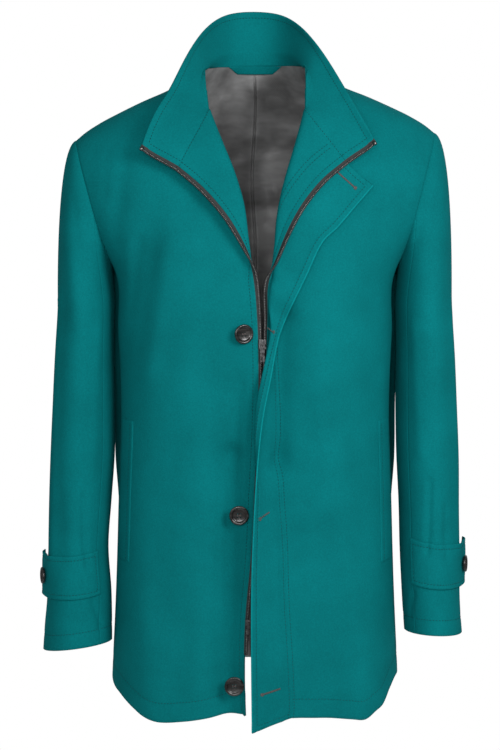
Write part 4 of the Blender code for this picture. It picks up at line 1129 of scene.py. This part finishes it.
# Zip tapes with their teeth and end stops
bands = ((collar[:, :2], collar_out[:, 0]), (collar[:, :-3:-1], collar_out[:, -1]))
teeth = []
stops = []
for phase, (name, grid, out), (band, band_out) in zip((0.0, 0.5), fronts, bands):
    edge = np.concatenate([grid[ZIP_FOOT:, -1], band[1:, 0]])
    away = edge - np.concatenate([grid[ZIP_FOOT:, -2], band[1:, 1]])
    normal = np.concatenate([out[ZIP_FOOT:, -1], band_out[1:]])
    run = unit(np.gradient(edge, axis=0))
    away = unit(away - run * np.sum(away * run, axis=1, keepdims=True))
    for _ in range(ZIP_PASSES):
        away[1:-1] = unit(away[:-2] + away[1:-1] + away[2:])
    edge = edge - normal * SEAM
    apart = np.clip((edge[:, 2:] - SLIDER_TOP_Z) / ZIP_OPENS, 0.0, 1.0)
    width = ZIP_WIDTH + (ZIP_OPEN_WIDTH - ZIP_WIDTH) * apart
    outer = np.stack([edge + away * (SEAM + width * share) for share in ZIP_SPAN], axis=1)
    node = "zip_" + name
    shell(node + "_tape", outer, outer - normal[:, None] * ZIP_WALL, (tape,), (node,))
    row = outer[:, -1] - away * TOOTH_IN - normal * TOOTH_DEEP
    length = run_of(row)
    at = np.arange(TOOTH_PITCH * (0.5 + phase), length[-1] - 2 * STOP_HALF[0], TOOTH_PITCH)
    ways = (unit(read(values, length, at)) for values in (run, away, normal))
    teeth.append(blocks(read(row, length, at), *ways, TOOTH_HALF))
    end = row[-1] - run[-1] * STOP_HALF[0]
    stops.append(blocks(*(np.array([v]) for v in (end, run[-1], away[-1], unit(normal[-1]))), STOP_HALF))
many("zip_teeth", teeth, BLOCK_FACES, silver)
many("zip_stops", stops, BLOCK_FACES, silver)
for node in ("zip_slider_top", "zip_slider_bottom", "zip_pull_top", "zip_pull_bottom"):
    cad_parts[node].data.materials.clear()
    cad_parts[node].data.materials.append(gunmetal)

# Buttons with their holes and thread, in the places of their nodes
BUTTON_PROFILE = (
    (0.0, 0.0), (0.60, 0.0), (0.88, 0.0007), (0.97, 0.0016), (1.0, 0.0026), (0.985, 0.0035), (0.94, 0.0041),
    (0.87, 0.0043), (0.79, 0.0041), (0.71, 0.0034), (0.65, 0.0027), (0.58, 0.0024), (0.0, 0.0022),
)
BUTTON_STEPS = 48
SHARP_EDGE = math.radians(40.0)
HOLE_RADIUS = 0.0010
HOLE_OFF = 0.0019
DRILL_STEPS = 16
DRILL_LENGTH = 0.02
STRAND_HALF = (0.0032, 0.0005, 0.0006)
STRAND_LEVEL = 0.0025
STRANDS = (((-HOLE_OFF, 0.0), (0.0, 1.0)), ((HOLE_OFF, 0.0), (0.0, 1.0)), ((0.0, 0.0), (0.7, 0.7)))


def button_place(node):
    """Matrix that sets a button where its node is, and its radius."""
    points = np.array([corner.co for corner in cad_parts[node].data.vertices])
    centre = points.mean(axis=0)
    aim = np.linalg.svd(points - centre)[2][2]
    aim = aim * np.sign(aim[0] * np.sign(centre[0]) - aim[1])
    height = (points - centre) @ aim
    radius = np.linalg.norm(points - centre - height[:, None] * aim, axis=1).max()
    side = unit(np.cross((0.0, 0.0, 1.0), aim))
    turn = Matrix((side, np.cross(aim, side), aim)).transposed().to_4x4()
    return Matrix.Translation(Vector(centre + aim * height.min())) @ turn, radius


def turned_mesh(name, radius):
    """Blank of a button, turned from its profile."""
    angles = np.linspace(0.0, 2 * math.pi, BUTTON_STEPS, endpoint=False)
    rings = BUTTON_PROFILE[1:-1]
    points = [(0.0, 0.0, BUTTON_PROFILE[0][1]), (0.0, 0.0, BUTTON_PROFILE[-1][1])]
    for share, height in rings:
        points += [(radius * share * math.cos(a), radius * share * math.sin(a), height) for a in angles]
    top = 2 + (len(rings) - 1) * BUTTON_STEPS
    faces = []
    for i in range(BUTTON_STEPS):
        j = (i + 1) % BUTTON_STEPS
        faces.append((0, 2 + j, 2 + i))
        for a in range(2, top, BUTTON_STEPS):
            faces.append((a + i, a + j, a + BUTTON_STEPS + j, a + BUTTON_STEPS + i))
        faces.append((top + i, top + j, 1))
    mesh = bpy.data.meshes.new(name)
    mesh.from_pydata(points, [], faces)
    return mesh


def drill_mesh():
    """Four pins that cut a button's holes."""
    form = bmesh.new()
    for x, y in product((-HOLE_OFF, HOLE_OFF), repeat=2):
        bmesh.ops.create_cone(form, cap_ends=True, segments=DRILL_STEPS, radius1=HOLE_RADIUS,
                              radius2=HOLE_RADIUS, depth=DRILL_LENGTH, matrix=Matrix.Translation((x, y, 0.0)))
    mesh = bpy.data.meshes.new("drill")
    form.to_mesh(mesh)
    form.free()
    return mesh


def button(node):
    """One sewn button, and the strands of its thread."""
    place, radius = button_place(node)
    blank = put("blank", turned_mesh(node + "_horn", radius))
    drill = put("drill", drill_mesh())
    blank.modifiers.new("holes", "BOOLEAN").object = drill
    mesh = bpy.data.meshes.new_from_object(blank.evaluated_get(bpy.context.evaluated_depsgraph_get()))
    for part in (blank, drill):
        bpy.data.objects.remove(part)
    mesh.transform(place)
    mesh.materials.clear()
    mesh.materials.append(horn)
    mesh.shade_smooth()
    mesh.set_sharp_from_angle(angle=SHARP_EDGE)
    sewn_on(put(node + "_horn", mesh), (node,))
    turn = np.array(place.to_3x3())
    here = np.array([np.array(place.translation) + turn @ (x, y, STRAND_LEVEL) for (x, y), _ in STRANDS])
    ahead = np.array([turn @ unit((x, y, 0.0)) for _, (x, y) in STRANDS])
    return lenses(here, ahead, np.repeat(turn[:, 2][None], len(STRANDS), axis=0), STRAND_HALF)


strands = [button(node) for node in sorted(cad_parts) if node.startswith("button_")]
many("button_thread", strands, LENS_FACES, grey_thread)

# Buttonholes worked in thread on the flap: the eye, then the far end
Hole = namedtuple("Hole", "x_eye z_eye x_end z_end")
HOLES = in_metres(Hole, (
    (126.5, -155.4, 103.6, -135.3), (22.7, -336, 15.5, -331), (5.7, -573.2, 17.9, -567.4),
    (9, -805, 32.3, -799.4),
))
EYE_RADIUS = 0.0014
EYE_STITCHES = 12
WORKED_PITCH = 0.0007
WORKED_HALF = (0.0016, 0.00050, 0.00055)
NEAREST = 24
FACE_DEPTH = CLOTH * 0.8


def on_flap(x, z):
    """Place and outward direction on the flap's foremost face, by a plane through its nearest points."""
    face = np.concatenate([flap_under, flap]).reshape(-1, 3)
    near = face[np.argsort((face[:, 0] - x) ** 2 + (face[:, 2] - z) ** 2)[:NEAREST]]
    near = near[near[:, 1] < near[:, 1].min() + FACE_DEPTH]
    level = np.stack([near[:, 0], near[:, 2], np.ones(len(near))], axis=-1)
    slope = np.linalg.lstsq(level, near[:, 1], rcond=None)[0]
    return np.array([x, slope @ (x, z, 1.0), z]), unit(np.array([slope[0], -1.0, slope[1]]))


def worked(hole):
    """Crosswise stitches along a buttonhole and round its eye."""
    eye = np.array([hole.x_eye, 0.0, hole.z_eye])
    run = np.array([hole.x_end, 0.0, hole.z_end]) - eye
    spots = [(eye + run * share, None) for share in np.arange(0.0, 1.0, WORKED_PITCH / np.linalg.norm(run))]
    for turn in np.linspace(0.0, 2 * math.pi, EYE_STITCHES, endpoint=False):
        reach = np.array([math.cos(turn), 0.0, math.sin(turn)])
        spots.append((eye + reach * EYE_RADIUS, reach))
    rows = []
    for spot, reach in spots:
        place, aim = on_flap(spot[0], spot[2])
        ahead = np.cross(run, aim) if reach is None else reach - aim * (reach @ aim)
        rows.append((place + aim * WORKED_HALF[2] / 2, unit(ahead), aim))
    return lenses(*np.array(rows).swapaxes(0, 1), WORKED_HALF)


many("buttonholes", [worked(hole) for hole in HOLES], LENS_FACES, grey_thread)

many("stitching", seams, LENS_FACES, thread)

# Floor, light and camera
FLOOR_RADIUS = 0.86
FLOOR_Z = -1.25
WORLD_LIGHT = 0.19
Light = namedtuple("Light", "name x y z aim_z size power")
LIGHTS = (
    Light("key", 0.95, -1.45, 0.26, -0.12, 0.7, 18.0),
    Light("front", -0.15, -2.50, 0.18, -0.22, 0.8, 21.0),
    Light("left", -1.40, -1.90, 0.35, -0.20, 1.0, 6.0),
    Light("behind", 0.6, 2.8, 1.4, -0.3, 2.0, 14.0),
)
CAMERA_AT = (-0.0067, -2.5747, -0.0482)
CAMERA_TILT = math.radians(82.0)
CAMERA_LENS = 93.12

bpy.ops.mesh.primitive_circle_add(vertices=96, radius=FLOOR_RADIUS, fill_type="NGON",
                                  location=(0.0, 0.0, FLOOR_Z))
floor = bpy.context.object
floor.name = "floor"
pale, tree, shader, place = new_surface("pale_floor", 0.9)
tones(tree, noise(tree, place, 3.0), shader, ((0.3, (0.80, 0.80, 0.80)), (0.7, (0.84, 0.84, 0.84))))
floor.data.materials.append(pale)

world = bpy.data.worlds.new("studio")
bpy.context.scene.world = world
world.use_nodes = True
sky = world.node_tree
backdrop = sky.nodes["Background"]
set_values(backdrop, {"Color": (1.0, 1.0, 1.0, 1.0)})
ray = sky.nodes.new("ShaderNodeLightPath").outputs["Is Camera Ray"]
seen = add_node(sky, "MapRange", {"To Min": WORLD_LIGHT, "To Max": 1.0}, {"Value": ray})
sky.links.new(seen.outputs["Result"], backdrop.inputs["Strength"])

for light in LIGHTS:
    lamp = bpy.data.lights.new(light.name, "AREA")
    lamp.size = light.size
    lamp.energy = light.power
    holder = put(light.name, lamp)
    holder.location = (light.x, light.y, light.z)
    aim = Vector((0.0, 0.0, light.aim_z)) - Vector((light.x, light.y, light.z))
    holder.rotation_euler = aim.to_track_quat("-Z", "Y").to_euler()

camera = bpy.data.cameras.new("camera")
camera.lens = CAMERA_LENS
camera.sensor_width = 36.0
viewer = put("camera", camera)
viewer.location = CAMERA_AT
viewer.rotation_euler = (CAMERA_TILT, 0.0, 0.0)
bpy.context.scene.camera = viewer
bpy.context.scene.view_settings.view_transform = "Standard"

# Size that each sheet was cut to before it was sewn and hung
Cut = namedtuple("Cut", "piece width length area on")
CUTS = (
    Cut("back_cloth", 0.560, 0.850, 0.422, ()),
    Cut("back_lining_satin", 0.450, 0.800, 0.340, ("back_cloth",)),
    Cut("front_right_cloth", 0.330, 0.860, 0.217, ("back_cloth",)),
    Cut("front_left_cloth", 0.330, 0.860, 0.211, ("back_cloth",)),
    Cut("facing_right_cloth", 0.125, 0.830, 0.057, ("front_right_cloth",)),
    Cut("facing_left_cloth", 0.125, 0.830, 0.055, ("front_left_cloth",)),
    Cut("fly_flap_cloth", 0.100, 0.780, 0.039, ("front_left_cloth",)),
    Cut("collar_cloth", 0.520, 0.090, 0.033, ("back_cloth",)),
    Cut("sleeve_upper_right_cloth", 0.270, 0.695, 0.156, ("back_cloth", "front_right_cloth")),
    Cut("sleeve_upper_left_cloth", 0.270, 0.695, 0.153, ("back_cloth", "front_left_cloth")),
    Cut("sleeve_under_right_cloth", 0.120, 0.585, 0.0555, ("back_cloth", "front_right_cloth")),
    Cut("sleeve_under_left_cloth", 0.120, 0.585, 0.0555, ("back_cloth", "front_left_cloth")),
    Cut("cuff_tab_right_cloth", 0.170, 0.060, 0.0088, ("sleeve_upper_right_cloth",)),
    Cut("cuff_tab_left_cloth", 0.170, 0.063, 0.0094, ("sleeve_upper_left_cloth",)),
    Cut("pocket_welt_right_cloth", 0.039, 0.190, 0.0072, ("front_right_cloth",)),
    Cut("pocket_welt_left_cloth", 0.039, 0.190, 0.0071, ("front_left_cloth",)),
    Cut("hanger_loop_cloth", 0.072, 0.011, 0.00075, ("back_lining_satin",)),
    Cut("zip_right_tape", 0.010, 0.840, 0.0065, ("front_right_cloth",)),
    Cut("zip_left_tape", 0.010, 0.840, 0.0065, ("front_left_cloth",)),
)
for cut in CUTS:
    list(cut.on)
